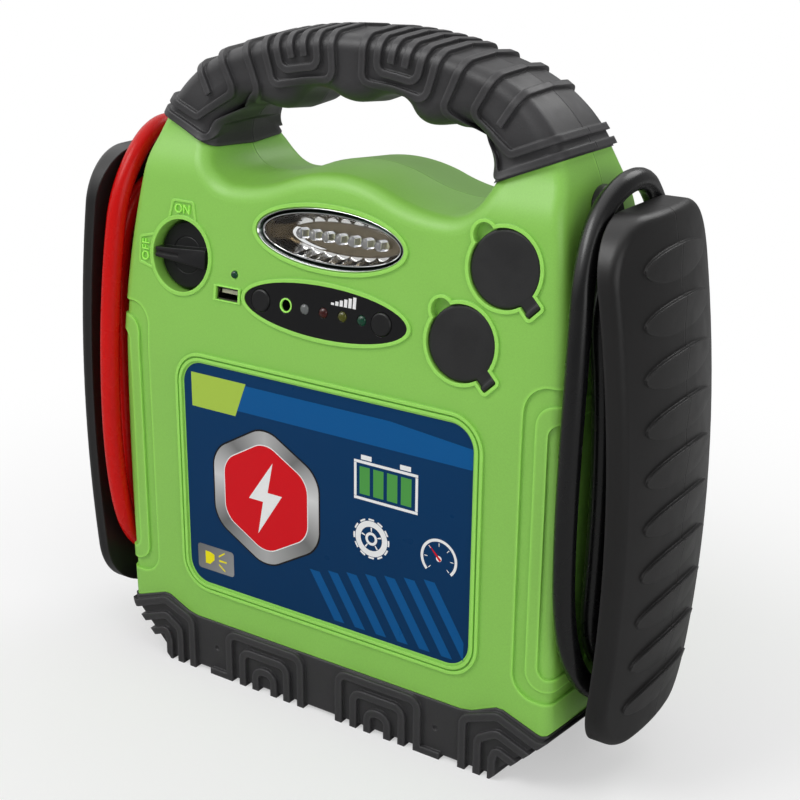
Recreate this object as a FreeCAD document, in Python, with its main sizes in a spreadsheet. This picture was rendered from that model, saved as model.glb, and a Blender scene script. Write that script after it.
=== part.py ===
import FreeCAD, Part
import math
import os
import re
import Sketcher
from FreeCAD import Placement, Rotation, Vector

# Jump starter pack with an air compressor. X right, Y to the back, Z up, millimetres.
# The origin is on the floor under the middle of the pack, and the two shells part at Y = 0.

SIZES = {
    # Housing
    "half_depth": 48, "base_height": 3, "base_half_width": 105, "corner_cut": 27, "flank_bow": 1.5,
    "flank_half_width": 132, "flank_top_z": 195, "shoulder_half_width": 117.8, "shoulder_z": 276,
    "top_z": 335.9, "draft": 4, "wall": 3, "edge_radius": 6, "hole_edge_radius": 9,
    "panel_tilt": 7, "panel_z": 211, "panel_bend_z": 172, "lean_start_z": 188, "lean_top_z": 262,
    "leg_front": 26, "leg_z": 292, "handle_front": 23, "handle_z": 320, "cavity_top_z": 255,
    "cover_depth": 1.2, "running_gap": 0.3, "seat_gap": 0.05,
    # Hand hole
    "saddle_z": 276.5, "valley_z": 265, "valley_x": 60, "hole_half_width": 77, "hole_side_z": 283,
    "under_end_x": 60, "under_end_z": 300.5, "bump_x": 42, "bump_z": 298, "scallop_x": 21,
    "scallop_z": 309.5, "middle_bump_z": 304.5,
    # Rubber covers
    "rubber_proud": 1, "rib_proud": 2, "rib_width": 3.4, "rib_bend": 5, "foot_half_width": 7,
    "foot_half_length": 30,
    "cuff_x": 76, "cuff_z": 277, "cuff_slope": 0.4, "handle_arc_radius": 163,
    "bumper_z": 30.5, "bumper_flat_x": 82, "bumper_peak_x": 103, "bumper_peak_z": 38, "bumper_end_x": 125,
    # Side relief
    "relief_x": 108.7, "relief_low_z": 47, "relief_high_z": 198, "relief_step": 6.3, "relief_back": 18,
    # Label and its double rim
    "label_width": 170, "label_height": 121, "label_radius": 12, "label_z": 113, "label_thick": 0.8,
    "rim_gap": 1.2, "rim_width": 1.6, "rim_proud": 1.1,
    # Isolator
    "isolator_x": 88.5, "isolator_z": 225.1, "isolator_recess": 18, "isolator_depth": 12,
    "knob_radius": 16.8, "knob_sink": 4.5, "bar_length": 33, "bar_width": 9, "bar_proud": 1,
    "shaft_radius": 4, "tab_reach": 27.5, "tab_half_width": 7,
    # Lamp
    "lamp_z": 244.9, "lamp_half_width": 42, "lamp_half_height": 14.2, "lamp_depth": 14, "lens_thick": 1.6,
    # Control panel
    "control_half_width": 46.8, "control_half_height": 12.4, "control_thick": 1, "pitch": 10.9,
    "left_button_x": 36.9, "button_radius": 5.4, "button_proud": 0.8, "button_travel": 1.2, "led_radius": 2.5,
    "jack_radius": 3.9, "jack_bore": 2.8,
    # USB socket and its lamp
    "usb_x": 57.9, "usb_z": 210.6, "usb_width": 12.5, "usb_height": 5.1, "usb_depth": 16,
    "usb_led_x": 54, "usb_led_z": 220.8, "usb_led_radius": 1.9,
    # 12 V sockets
    "socket_low_x": 74.9, "socket_low_z": 209.6, "socket_high_x": 93, "socket_high_z": 245,
    "socket_bore": 10.5, "socket_wall": 2, "socket_length": 34, "cap_radius": 17.3, "cap_thick": 3.2,
    "cap_sink": 0.2, "cap_seat": 4.5, "cap_round": 1.2, "plug_radius": 9.6, "plug_depth": 4,
    "notch_radius": 5.4, "strap_reach": 24, "strap_hinge": 22, "strap_radius": 1.4, "strap_width": 7.4,
    "hinge_depth": 0.5,
    # Side arms
    "arm_peak_x": 166, "arm_peak_z": 126, "arm_bow_radius": 735, "arm_thick": 15.5, "arm_half_depth": 48,
    "arm_low_z": 25, "arm_high_z": 272, "arm_corner": 28, "arm_round": 5, "arm_crown": 7.6,
    "drum_half_width": 13, "drum_low_z": 60, "drum_high_z": 248, "leaf_high_z": 278,
    "arm_rib_count": 10, "arm_rib_high_z": 250, "arm_rib_pitch": 22.4, "arm_rib_half_length": 34,
    "arm_rib_half_height": 7.5, "arm_rib_tilt": 8,
    # Inside
    "battery_length": 181, "battery_depth": 77, "battery_height": 167, "battery_front": 44.7,
    "terminal_x": 76, "terminal_y": 33, "bar_thick": 4, "board_thick": 1.6, "board_depth": 8,
    "motor_radius": 16, "motor_y": 4, "motor_length": 58, "pump_length": 38,
    # Rear bay with gauge, switch and hose outlet
    "bay_z": 213, "bay_half_length": 62, "bay_half_height": 28, "bay_depth": 12, "bay_wall": 2.5,
    "gauge_x": 34, "gauge_radius": 22, "gauge_depth": 18, "dial_depth": 9, "needle_length": 15,
    "rocker_x": 6, "rocker_radius": 8.2, "rocker_width": 10.4, "rocker_depth": 14.5, "rocker_tilt": 8,
    "hose_x": 40, "hose_radius": 6, "hose_bore": 3,
    # Screws
    "screw_radius": 2.1, "screw_head": 3.8, "screw_seat": 14,
    # Leads, their glands and clamps
    "lead_diameter": 10, "gland_x": 140, "gland_y": 34, "gland_z": 84, "gland_top": 98, "gland_radius": 7.2,
    "gland_stub": 6, "clamp_x": 110, "clamp_y": 65, "clamp_z": 190, "clamp_thick": 12, "clamp_gap": 1.8,
    "clamp_pin": 2, "clamp_hub": 7, "clamp_reach": 66, "clamp_handle": 88, "park_thick": 3,
}

doc = FreeCAD.newDocument("jump_starter_pack")
sheet = doc.addObject("Spreadsheet::Sheet", "sizes")
for row, (name, value) in enumerate(SIZES.items(), start=1):
    sheet.set("A%d" % row, name)
    sheet.set("B%d" % row, str(value))
    sheet.setAlias("B%d" % row, name)
doc.recompute()


def size(name):
    return float(sheet.get(name))


parts = []


# Sketches and bodies bound to the sheet. A point is a pair of texts in the sheet's own words.
def bound(text):
    return re.sub(r"\b[a-z][a-z_0-9]{2,}\b", r"sizes.\g<0>", str(text))


def new_body(label):
    body = doc.addObject("PartDesign::Body", label)
    body.Label = label
    parts.append(body)
    return body


def new_sketch(body, role, loops, offset=0):
    sketch = body.newObject("Sketcher::SketchObject", body.Name + "_sketch")
    plane = [item for item in body.Origin.OriginFeatures if item.Role == role][0]
    sketch.AttachmentSupport = [(plane, "")]
    sketch.MapMode = "FlatFace"
    if offset != 0:
        sketch.setExpression("AttachmentOffset.Base.z", bound(offset))
    for loop in loops:
        if loop[0] == "circle":
            add_circle(sketch, *loop[1:])
        else:
            add_polygon(sketch, loop)
    doc.recompute()
    return sketch


def fix_point(sketch, edge, place, across, up):
    for axis, kind, text in ((-2, "DistanceX", across), (-1, "DistanceY", up)):
        if str(text) == "0":
            sketch.addConstraint(Sketcher.Constraint("PointOnObject", edge, place, axis))
            continue
        number = sketch.addConstraint(Sketcher.Constraint(kind, -1, 1, edge, place, 5.0 + edge))
        name = "%s_%d_%d" % (kind[-1].lower(), edge, place)
        sketch.renameConstraint(number, name)
        sketch.setExpression("Constraints." + name, bound(text))


def add_polygon(sketch, points):
    first = sketch.GeometryCount
    count = len(points)
    ring = [Vector(20 + 5 * math.cos(2 * math.pi * i / count), 20 + 5 * math.sin(2 * math.pi * i / count), 0)
            for i in range(count)]
    for i in range(count):
        sketch.addGeometry(Part.LineSegment(ring[i], ring[(i + 1) % count]), False)
    for i in range(count):
        sketch.addConstraint(Sketcher.Constraint("Coincident", first + i, 2, first + (i + 1) % count, 1))
    for i, (across, up) in enumerate(points):
        fix_point(sketch, first + i, 1, across, up)


def add_circle(sketch, across, up, radius):
    edge = sketch.addGeometry(Part.Circle(Vector(3, 3, 0), Vector(0, 0, 1), 2), False)
    fix_point(sketch, edge, 3, across, up)
    number = sketch.addConstraint(Sketcher.Constraint("Radius", edge, 2.0 + edge))
    name = "r_%d" % edge
    sketch.renameConstraint(number, name)
    sketch.setExpression("Constraints." + name, bound(radius))


def rectangle(x0, y0, x1, y1):
    return [(x0, y0), (x1, y0), (x1, y1), (x0, y1)]


def pad(body, sketch, length, reverse=False, midplane=False):
    feature = body.newObject("PartDesign::Pad", body.Name + "_pad")
    feature.Profile = sketch
    feature.Reversed = reverse
    feature.Midplane = midplane
    feature.setExpression("Length", bound(length))
    doc.recompute()
    return feature


def pocket(body, sketch, length, reverse=False, midplane=False):
    feature = body.newObject("PartDesign::Pocket", body.Name + "_pocket")
    feature.Profile = sketch
    feature.Reversed = reverse
    feature.Midplane = midplane
    feature.setExpression("Length", bound(length))
    doc.recompute()
    return feature


# A turned piece: points are (radius, depth), turned about the piece's own Y axis.
def turned(label, points):
    body = new_body(label)
    sketch = new_sketch(body, "XY_Plane", [points])
    feature = body.newObject("PartDesign::Revolution", label + "_turn")
    feature.Profile = sketch
    feature.ReferenceAxis = (sketch, ["V_Axis"])
    feature.Angle = 360
    doc.recompute()
    return body


def made(label, shape):
    piece = doc.addObject("Part::Feature", label)
    piece.Label = label
    piece.Shape = shape
    parts.append(piece)
    return piece


# Outlines made of tangent arcs. A segment is two points for a line or three for an arc.
def unit(x, z):
    length = math.hypot(x, z)
    return (x / length, z / length)


def tangent_arc(start, direction, end):
    chord = unit(end[0] - start[0], end[1] - start[1])
    length = math.dist(start, end)
    half = math.atan2(direction[0] * chord[1] - direction[1] * chord[0],
                      direction[0] * chord[0] + direction[1] * chord[1])
    if abs(half) < 1e-6:
        return (start, end), direction
    sag = length / 2 * math.tan(half / 2)
    middle = ((start[0] + end[0]) / 2 + sag * chord[1], (start[1] + end[1]) / 2 - sag * chord[0])
    turn = (math.cos(2 * half), math.sin(2 * half))
    after = (turn[0] * direction[0] - turn[1] * direction[1], turn[1] * direction[0] + turn[0] * direction[1])
    return (start, middle, end), after


def two_arcs(start, direction, end, last):
    across = (end[0] - start[0], end[1] - start[1])
    total = (direction[0] + last[0], direction[1] + last[1])
    along = across[0] * total[0] + across[1] * total[1]
    bend = 2 * (1 - direction[0] * last[0] - direction[1] * last[1])
    square = across[0] ** 2 + across[1] ** 2
    if bend < 1e-9:
        reach = square / (4 * (across[0] * last[0] + across[1] * last[1]))
    else:
        reach = (math.sqrt(along ** 2 + bend * square) - along) / bend
    joint = ((start[0] + end[0] + reach * (direction[0] - last[0])) / 2,
             (start[1] + end[1] + reach * (direction[1] - last[1])) / 2)
    first, between = tangent_arc(start, direction, joint)
    second, _ = tangent_arc(joint, between, end)
    return [first, second]


# An open line through (x, z) points, its corners rounded to a bend or as far as the runs allow
def bent_line(points, bend):
    line, here = [], points[0]
    for before, point, after in zip(points, points[1:], points[2:]):
        inward = unit(point[0] - before[0], point[1] - before[1])
        onward = unit(after[0] - point[0], after[1] - point[1])
        turn = math.acos(inward[0] * onward[0] + inward[1] * onward[1])
        run = min(bend * math.tan(turn / 2), 0.45 * math.dist(before, point), 0.45 * math.dist(point, after))
        start = (point[0] - inward[0] * run, point[1] - inward[1] * run)
        end = (point[0] + onward[0] * run, point[1] + onward[1] * run)
        line += [(here, start), tangent_arc(start, inward, end)[0]]
        here = end
    return line + [(here, points[-1])]


def both_sides(half):
    return half + [tuple((-p[0], p[1]) for p in reversed(segment)) for segment in reversed(half)]


def outward(segment):
    if len(segment) == 2:
        along = unit(segment[1][0] - segment[0][0], segment[1][1] - segment[0][1])
        return [(along[1], -along[0])] * 2
    start, middle, end = segment
    centre = Part.Arc(*[Vector(p[0], 0, p[1]) for p in segment]).toShape().Curve.Center
    turn = (middle[0] - start[0]) * (end[1] - middle[1]) - (middle[1] - start[1]) * (end[0] - middle[0])
    sign = 1 if turn > 0 else -1
    normals = [unit(p[0] - centre.x, p[1] - centre.z) for p in segment]
    return [(sign * n[0], sign * n[1]) for n in normals]


def grown(loop, amount):
    normals = [outward(segment) for segment in loop]

    def corner(point, before, after):
        middle = unit(before[0] + after[0], before[1] + after[1])
        reach = amount / (middle[0] * before[0] + middle[1] * before[1])
        return (point[0] + middle[0] * reach, point[1] + middle[1] * reach)

    result = []
    for i, segment in enumerate(loop):
        own = normals[i]
        start = corner(segment[0], normals[i - 1][-1], own[0])
        end = corner(segment[-1], own[-1], normals[(i + 1) % len(loop)][0])
        if len(segment) == 2:
            result.append((start, end))
        else:
            middle = (segment[1][0] + own[1][0] * amount, segment[1][1] + own[1][1] * amount)
            result.append((start, middle, end))
    return result


def wire(loop, place):
    edges = []
    for segment in loop:
        points = [place(*p) for p in segment]
        shape = Part.LineSegment(*points) if len(points) == 2 else Part.Arc(*points)
        edges.append(shape.toShape())
    return Part.Wire(edges)


def upright(y):
    return lambda x, z: Vector(x, y, z)


# Housing: outline and hand hole seen from the front, and the front face seen from the side.
def housing_outline():
    corner = size("corner_cut")
    low = (size("base_half_width"), size("base_height"))
    side = (size("base_half_width") + corner, size("base_height") + corner)
    flank = (size("flank_half_width") - size("flank_bow"), size("flank_top_z"))
    shoulder = (size("shoulder_half_width"), size("shoulder_z"))
    rise = unit(2 * size("flank_bow"), (flank[1] - side[1]) / 2)
    half = [((0, low[1]), low), (low, side)]
    segment, heading = tangent_arc(side, rise, flank)
    half.append(segment)
    segment, heading = tangent_arc(flank, heading, shoulder)
    half.append(segment)
    half += two_arcs(shoulder, heading, (0, size("top_z")), (-1, 0))
    return both_sides(half)


def hand_hole():
    right, left, up = (1, 0), (-1, 0), (0, 1)
    valley = (size("valley_x"), size("valley_z"))
    side = (size("hole_half_width"), size("hole_side_z"))
    under = (size("under_end_x"), size("under_end_z"))
    bump = (size("bump_x"), size("bump_z"))
    scallop = (size("scallop_x"), size("scallop_z"))
    half = two_arcs((0, size("saddle_z")), right, valley, right)
    segment, heading = tangent_arc(valley, right, side)
    half.append(segment)
    half += two_arcs(side, heading, under, left)
    half += two_arcs(under, left, bump, left)
    half += two_arcs(bump, left, scallop, left)
    half += two_arcs(scallop, left, (0, size("middle_bump_z")), left)
    return both_sides(half)


TILT = math.radians(size("panel_tilt"))
LEAN_START_Y = -size("half_depth") + (size("lean_start_z") - size("panel_bend_z")) * math.tan(TILT / 2)


def panel_y(z):
    return LEAN_START_Y + (z - size("lean_start_z")) * math.tan(TILT)


# The front face from the floor to the handle, as (y, z) points with tangent bends.
def front_prism(inset):
    up = (0, 1)
    lean = (math.sin(TILT), math.cos(TILT))
    face = -size("half_depth") + inset
    handle = (-size("handle_front") + inset, size("handle_z"))
    leg = (-size("leg_front") + inset, size("leg_z"))
    foot = (face, -15)
    head = size("top_z") + 15
    bend = (face, size("panel_bend_z"))
    low = (LEAN_START_Y + inset, size("lean_start_z"))
    high = (panel_y(size("lean_top_z")) + inset, size("lean_top_z"))
    rise = unit(leg[0] - handle[0], leg[1] - handle[1])
    rise = (-rise[0] / 2, abs(rise[1]))
    rise = unit(*rise)
    chain = [(foot, bend), tangent_arc(bend, up, low)[0], (low, high)]
    chain += two_arcs(high, lean, leg, rise)
    chain += two_arcs(leg, rise, handle, up)
    back_foot, back_head, top = (1, foot[1]), (1, head), (handle[0], head)
    chain += [(handle, top), (top, back_head), (back_head, back_foot), (back_foot, foot)]
    width = size("flank_half_width") + 20
    profile = wire(chain, lambda y, z: Vector(-width, y, z))
    return Part.Face(profile).extrude(Vector(2 * width, 0, 0))


OUTLINE = housing_outline()
HOLE = hand_hole()


# The floor's edge moves down along the corner cuts, so that one level cut makes the whole floor.
def lowered_floor(loop, amount):
    low = min(point[1] for segment in loop for point in segment)

    def lowered(point):
        if point[1] > low + 0.01:
            return point
        side = (point[0] > 0) - (point[0] < 0)
        return (point[0] - side * amount, point[1] - amount)

    return [tuple(lowered(point) for point in segment) for segment in loop]


# The front half of the housing's outer form, drawn in by an inset, with rounded front edges.
def front_form(inset):
    depth = size("half_depth") + 8
    draft = size("draft") * depth / size("half_depth")
    spare = 2
    back, front = upright(0), upright(-depth)
    root = lowered_floor(grown(OUTLINE, -inset), spare)
    face = lowered_floor(grown(OUTLINE, -inset - draft), draft + spare)
    body = Part.makeLoft([wire(root, back), wire(face, front)], True, True)
    hole = Part.makeLoft([wire(grown(HOLE, inset), back), wire(grown(HOLE, inset + draft), front)], True, True)
    width = size("flank_half_width") + 20
    below = box(-width, width, -depth - 1, 1, -20, size("base_height") + inset)
    form = body.cut([hole, below]).common(front_prism(inset))
    outer, inner = [], []
    for edge in form.Edges:
        if edge.BoundBox.ZMin < size("base_height") + 1 + inset or edge.BoundBox.YMax > -1:
            continue
        flat = 0
        for face in form.Faces:
            if any(other.isSame(edge) for other in face.Edges):
                u0, u1, v0, v1 = face.ParameterRange
                normal = face.normalAt((u0 + u1) / 2, (v0 + v1) / 2)
                flat += abs(normal.x) < 1e-6 and normal.y < -0.5
        if flat == 1:
            middle = edge.CenterOfMass
            at_hole = abs(middle.x) < size("hole_half_width") + 12 and middle.z < size("top_z") - 15
            (inner if at_hole and middle.z > 200 else outer).append(edge)
    form = form.makeFillet(max(size("edge_radius") - inset, 1), outer)
    middles = [edge.CenterOfMass for edge in inner]
    corners = [edge for edge in form.Edges if any(edge.CenterOfMass.isEqual(m, 0.01) for m in middles)]
    return form.makeFillet(max(size("hole_edge_radius") - inset, 1), corners)


def mirrored(shape):
    return shape.mirror(Vector(0, 0, 0), Vector(0, 1, 0))


def mirrored_x(shape):
    return shape.mirror(Vector(0, 0, 0), Vector(1, 0, 0))


def box(x0, x1, y0, y1, z0, z1):
    return Part.makeBox(x1 - x0, y1 - y0, z1 - z0, Vector(x0, y0, z0))


def prism(points, y0, y1):
    face = Part.Face(Part.makePolygon([Vector(x, y0, z) for x, z in points + points[:1]]))
    return face.extrude(Vector(0, y1 - y0, 0))


# A strip of even width along a line of (x, z) points with rounded bends, from y0 to y1
def strip(points, width, y0, y1):
    sides = []
    for amount in (width / 2, -width / 2):
        side = []
        for segment in bent_line(points, size("rib_bend")):
            shifts = zip(segment, outward(segment))
            side.append(tuple((p[0] + n[0] * amount, p[1] + n[1] * amount) for p, n in shifts))
        sides.append(side)
    far = [tuple(reversed(segment)) for segment in reversed(sides[1])]
    loop = sides[0] + [(sides[0][-1][-1], far[0][0])] + far + [(far[-1][-1], sides[0][0][0])]
    return Part.Face(wire(loop, upright(y0))).extrude(Vector(0, y1 - y0, 0))


# Fillets on the edges of a prism that run through its depth
def softened(shape, radius, chosen=lambda place: True):
    edges = [e for e in shape.Edges if abs(e.tangentAt(e.FirstParameter).y) > 0.9 and chosen(e.CenterOfMass)]
    return shape.makeFillet(radius, edges)


def rounded(x0, x1, z0, z1, radius, y0, y1):
    return softened(box(x0, x1, y0, y1, z0, z1), radius)


def disc(radius, y0, y1, x=0, z=0):
    return Part.makeCylinder(radius, y1 - y0, Vector(x, y0, z), Vector(0, 1, 0))


def oval(half_width, half_height, y0, y1):
    edge = Part.Ellipse(Vector(0, y0, 0), half_width, half_height).toShape()
    edge.rotate(Vector(0, y0, 0), Vector(1, 0, 0), 90)
    return Part.Face(Part.Wire([edge])).extrude(Vector(0, y1 - y0, 0))


def on_panel(shape, x, z, sink=0):
    piece = shape.copy()
    piece.Placement = panel_place(x, z, sink)
    return piece


def panel_place(x, z, sink=0):
    turn = Rotation(Vector(1, 0, 0), -size("panel_tilt"))
    seat = Vector(x, panel_y(z), z)
    return Placement(seat + turn.multVec(Vector(0, sink, 0)), turn)


FRONT = -size("half_depth") - 12
RIGHT = box(0, 200, FRONT, 1, -20, 360)


# The right front quarter of the form; the whole is mirrored from it.
def right_quarter(inset):
    return front_form(inset).common(RIGHT)


skin = right_quarter(0)
under_cover = right_quarter(size("cover_depth"))
inside = right_quarter(size("wall"))
cover_band = right_quarter(-size("rubber_proud")).cut(under_cover)
rib_band = right_quarter(-size("rubber_proud") - size("rib_proud")).cut(under_cover)


def whole(shape):
    return shape.fuse(mirrored_x(shape))


# Where the rubber grip and the rubber bumper cover the shells
def cuff_height(x, rise=0):
    return size("cuff_z") + rise + size("cuff_slope") * (x - size("cuff_x"))


def grip_zone():
    reach = size("flank_half_width") + 10
    start = size("cuff_x") - 6
    saddle = size("saddle_z") + 9
    half = [(0, saddle), (start - 4, saddle), (start, cuff_height(start)), (reach, cuff_height(reach))]
    return prism(half + [(reach, size("top_z") + 20), (0, size("top_z") + 20)], FRONT, 0)


def bumper_line():
    flat, peak, end = size("bumper_flat_x"), size("bumper_peak_x"), size("bumper_end_x")
    low, high = size("bumper_z"), size("bumper_peak_z")
    return [(0, low), (flat, low), (flat + 6, low + 1.2), (peak - 2, high - 0.3), (peak + 2, high - 0.3),
            (end, low), (end + 20, low)]


def bumper_zone():
    line = bumper_line()
    return prism(line + [(line[-1][0], -10), (0, -10)], FRONT, 0)


# The stepped frame pressed into each side: outer step down, band up, inner panel down.
def side_relief():
    x, low, high = size("relief_x"), size("relief_low_z"), size("relief_high_z")
    step = size("relief_step")
    reach = size("flank_half_width") + 20
    rings = []
    for i in range(3):
        rings.append(rounded(x + i * step, reach, low + i * step, high - i * step * 1.2, 12 - 3 * i,
                             FRONT, -size("relief_back")))
    return rings[0].cut(rings[1]).fuse(rings[2])


grip_area = grip_zone()
bumper_area = bumper_zone()
relief = side_relief()
covered = grip_area.fuse([bumper_area, relief])


# Front details on the sloping panel, all in the panel's own frame with the outside towards -Y
def isolator_rim():
    radius = size("isolator_recess") + 2
    reach, half = size("tab_reach"), size("tab_half_width")
    wall = 1.2
    tab = [(-half - 3, radius - 6), (-half, reach), (half, reach), (half + 3, radius - 6)]
    inner = [(-half - 1.6, radius - 5), (-half + wall, reach - wall), (half - wall, reach - wall),
             (half + 1.6, radius - 5)]
    side_tab = [(-z, x) for x, z in tab]
    side_inner = [(-z, x) for x, z in inner]
    tabs = [softened(prism(points, -0.6, 4), 2) for points in (tab, side_tab)]
    plate = disc(radius, -0.8, 4).fuse(tabs)
    for points in (inner, side_inner):
        plate = plate.cut(softened(prism(points, -1, 0), 1).cut(disc(radius, -1, 1)))
    return plate


def notch_place():
    turn = math.radians(130)
    return (size("cap_radius") * math.cos(turn), size("cap_radius") * math.sin(turn))


def strap_block(width, reach, corner, y0, y1):
    block = softened(box(0, reach, y0, y1, -width / 2, width / 2), corner, lambda place: place.x > reach - 0.1)
    return block.rotate(Vector(0, 0, 0), Vector(0, 1, 0), 45)


def socket_boss():
    radius = size("cap_radius")
    return disc(radius + 2, -1, 7).fuse([disc(size("notch_radius") + 1.5, -1, 7, *notch_place()),
                                         strap_block(11, size("strap_reach") + 1.5, 2.5, -1, 7)])


def socket_cut():
    radius = size("cap_radius") + size("running_gap")
    seat = disc(radius, -3, size("cap_seat")).fuse([disc(size("notch_radius"), -3, 3, *notch_place()),
                                                    strap_block(8, size("strap_reach"), 1, -3, 3.4)])
    barrel_end = size("cap_seat") + size("socket_length") + 1
    return seat.fuse(disc(socket_outer() + size("seat_gap"), -3, barrel_end))


def socket_outer():
    return size("socket_bore") + size("socket_wall")


SOCKETS = {"lower": (size("socket_low_x"), size("socket_low_z")),
           "upper": (size("socket_high_x"), size("socket_high_z"))}
ISOLATOR = (-size("isolator_x"), size("isolator_z"))
LAMP = (0, size("lamp_z"))
CONTROL = (0, size("panel_z"))
USB = (-size("usb_x"), size("usb_z"))
PITCH = size("pitch")
BUTTONS = {"lamp_button": -size("left_button_x"), "battery_button": 3 * PITCH}
LEDS = {"polarity_led": -PITCH, "low_led": 0, "medium_led": PITCH, "full_led": 2 * PITCH}
JACK_X = -2 * PITCH


def front_additions():
    face = -size("half_depth")
    half_w, half_h, radius = size("label_width") / 2, size("label_height") / 2, size("label_radius")
    middle, gap, width, proud = size("label_z"), size("rim_gap"), size("rim_width"), size("rim_proud")
    added = []
    for step in (gap, gap + width + 0.9):
        outer = rounded(-half_w - step - width, half_w + step + width, middle - half_h - step - width,
                        middle + half_h + step + width, radius + step + width, face - proud, face + 1)
        inner = rounded(-half_w - step, half_w + step, middle - half_h - step, middle + half_h + step,
                        radius + step, face - proud - 1, face + 2)
        added.append(outer.cut(inner))
    added.append(on_panel(isolator_rim(), *ISOLATOR))
    added.append(on_panel(disc(size("isolator_recess") + 2, 0, size("isolator_depth") + 2), *ISOLATOR))
    ring = 2
    added.append(on_panel(oval(size("lamp_half_width") + ring, size("lamp_half_height") + ring, -1, 2), *LAMP))
    half_w, half_h = size("control_half_width") + ring, size("control_half_height") + ring
    added.append(on_panel(oval(half_w, half_h, -1, 2), *CONTROL))
    frame_w, frame_h = size("usb_width") / 2 + 2.1, size("usb_height") / 2 + 1.3
    added.append(on_panel(box(-frame_w, frame_w, -0.8, 3, -frame_h, frame_h), *USB))
    for place in SOCKETS.values():
        added.append(on_panel(socket_boss(), *place))
    return added


def front_cuts():
    gap = size("seat_gap")
    cuts = []
    face = -size("half_depth")
    half_w, half_h = size("label_width") / 2 + gap, size("label_height") / 2 + gap
    cuts.append(rounded(-half_w, half_w, size("label_z") - half_h, size("label_z") + half_h,
                        size("label_radius") + gap, face - 5, face + size("label_thick")))
    cuts.append(on_panel(disc(size("isolator_recess"), -5, size("isolator_depth")), *ISOLATOR))
    cuts.append(on_panel(disc(size("shaft_radius") + size("seat_gap"), 0, 30), *ISOLATOR))
    cuts.append(on_panel(oval(size("lamp_half_width") + gap, size("lamp_half_height") + gap, -5, 20), *LAMP))
    cuts.append(on_panel(oval(size("control_half_width") + gap, size("control_half_height") + gap, -5,
                              size("control_thick") - 0.5), *CONTROL))
    for x in BUTTONS.values():
        cuts.append(on_panel(disc(size("button_radius") + size("running_gap"), -5, 12, x), *CONTROL))
    for x in LEDS.values():
        cuts.append(on_panel(disc(size("led_radius") + gap, -5, 12, x), *CONTROL))
    cuts.append(on_panel(disc(size("jack_radius") + gap, -5, 12, JACK_X), *CONTROL))
    usb_w, usb_h = size("usb_width") / 2 + 0.7, size("usb_height") / 2 + 0.7
    cuts.append(on_panel(box(-usb_w, usb_w, -5, 12, -usb_h, usb_h), *USB))
    cuts.append(on_panel(disc(size("usb_led_radius") + gap, -5, 12), -size("usb_led_x"), size("usb_led_z")))
    for place in SOCKETS.values():
        cuts.append(on_panel(socket_cut(), *place))
    return cuts


hollow = inside.common(box(-1, 150, FRONT, 1, 0, size("cavity_top_z")))
SCREWS = [(x, z) for x in (-108, 108) for z in (52, 205)] + [(-100, 283), (100, 283)]
SCREW_RADIUS = size("screw_radius")


def plain_shell():
    quarter = skin.cut(covered).fuse(under_cover).cut(hollow)
    bosses = [disc(5.5, FRONT, 0, x, z).common(hollow) for x, z in SCREWS if x > 0 and z < 250]
    return whole(quarter.fuse(bosses))


shell_half = plain_shell()


def front_shell():
    shell = shell_half.fuse(front_additions())
    holes = [disc(SCREW_RADIUS, -22, 1, x, z) for x, z in SCREWS]
    return shell.cut(front_cuts() + holes).removeSplitter()


def rear_panel(shape, x, sink=0):
    return mirrored(on_panel(shape, x, size("bay_z"), sink))


ROCKER_HALF_WIDTH = 6.5
ROCKER_HALF_HEIGHT = 9.5


def bay_shape(extra, y0, y1):
    length, height = size("bay_half_length") + extra, size("bay_half_height") + extra
    return rounded(-length, length, -height, height, height - 1, y0, y1)


# A fin on the back at each side, which the jaws of a parked clamp hold
def park_lugs():
    half, root_half = size("park_thick") / 2, 3.5
    low = size("clamp_z") + size("clamp_reach") - 28
    lugs = []
    for x in (-size("clamp_x"), size("clamp_x")):
        fin = box(x - half, x + half, 30, 72, low, low + 24)
        root = rounded(x - root_half, x + root_half, low - 4, low + 28, root_half - 0.5, 30, 50)
        lugs.append(fin.fuse(root).cut(mirrored(whole(skin))))
    return Part.makeCompound(lugs)


def rear_shell():
    depth, wall = size("bay_depth"), size("bay_wall")
    tub = bay_shape(wall, 0.5, depth + wall).cut(bay_shape(0, -3, depth))
    shell = mirrored(shell_half).cut(rear_panel(bay_shape(0, -8, depth + 1), 0)).fuse(rear_panel(tub, 0))
    gap = size("seat_gap")
    half_w, half_h = ROCKER_HALF_WIDTH + gap, ROCKER_HALF_HEIGHT + gap
    cuts = [rear_panel(disc(size("gauge_radius") + gap, depth - 2, depth + 6), -size("gauge_x")),
            rear_panel(box(-half_w, half_w, depth - 2, depth + 6, -half_h, half_h), size("rocker_x")),
            rear_panel(disc(size("hose_radius") + gap, depth - 2, depth + 6), size("hose_x"))]
    stub = Part.makeCylinder(size("gland_stub") + gap, 40, Vector(size("gland_x") - 35, size("gland_y"),
                                                                size("gland_z")), Vector(1, 0, 0))
    cuts += [stub, mirrored_x(stub)]
    for x, z in SCREWS:
        cuts.append(disc(SCREW_RADIUS + 0.1, -1, 60, x, z))
        cuts.append(disc(size("screw_head") + 0.4, size("screw_seat"), 60, x, z))
    return shell.cut(cuts).removeSplitter()


def case_screws():
    screws = []
    seat, head = size("screw_seat"), size("screw_head")
    for x, z in SCREWS:
        shank = disc(SCREW_RADIUS, -16, seat, x, z)
        cap = disc(head, seat, seat + 2.5, x, z)
        slot = box(x - 2.4, x + 2.4, seat + 1.3, seat + 3, z - 0.5, z + 0.5).fuse(
            box(x - 0.5, x + 0.5, seat + 1.3, seat + 3, z - 2.4, z + 2.4))
        screws.append(shank.fuse(cap).cut(slot))
    return Part.makeCompound(screws)


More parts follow.
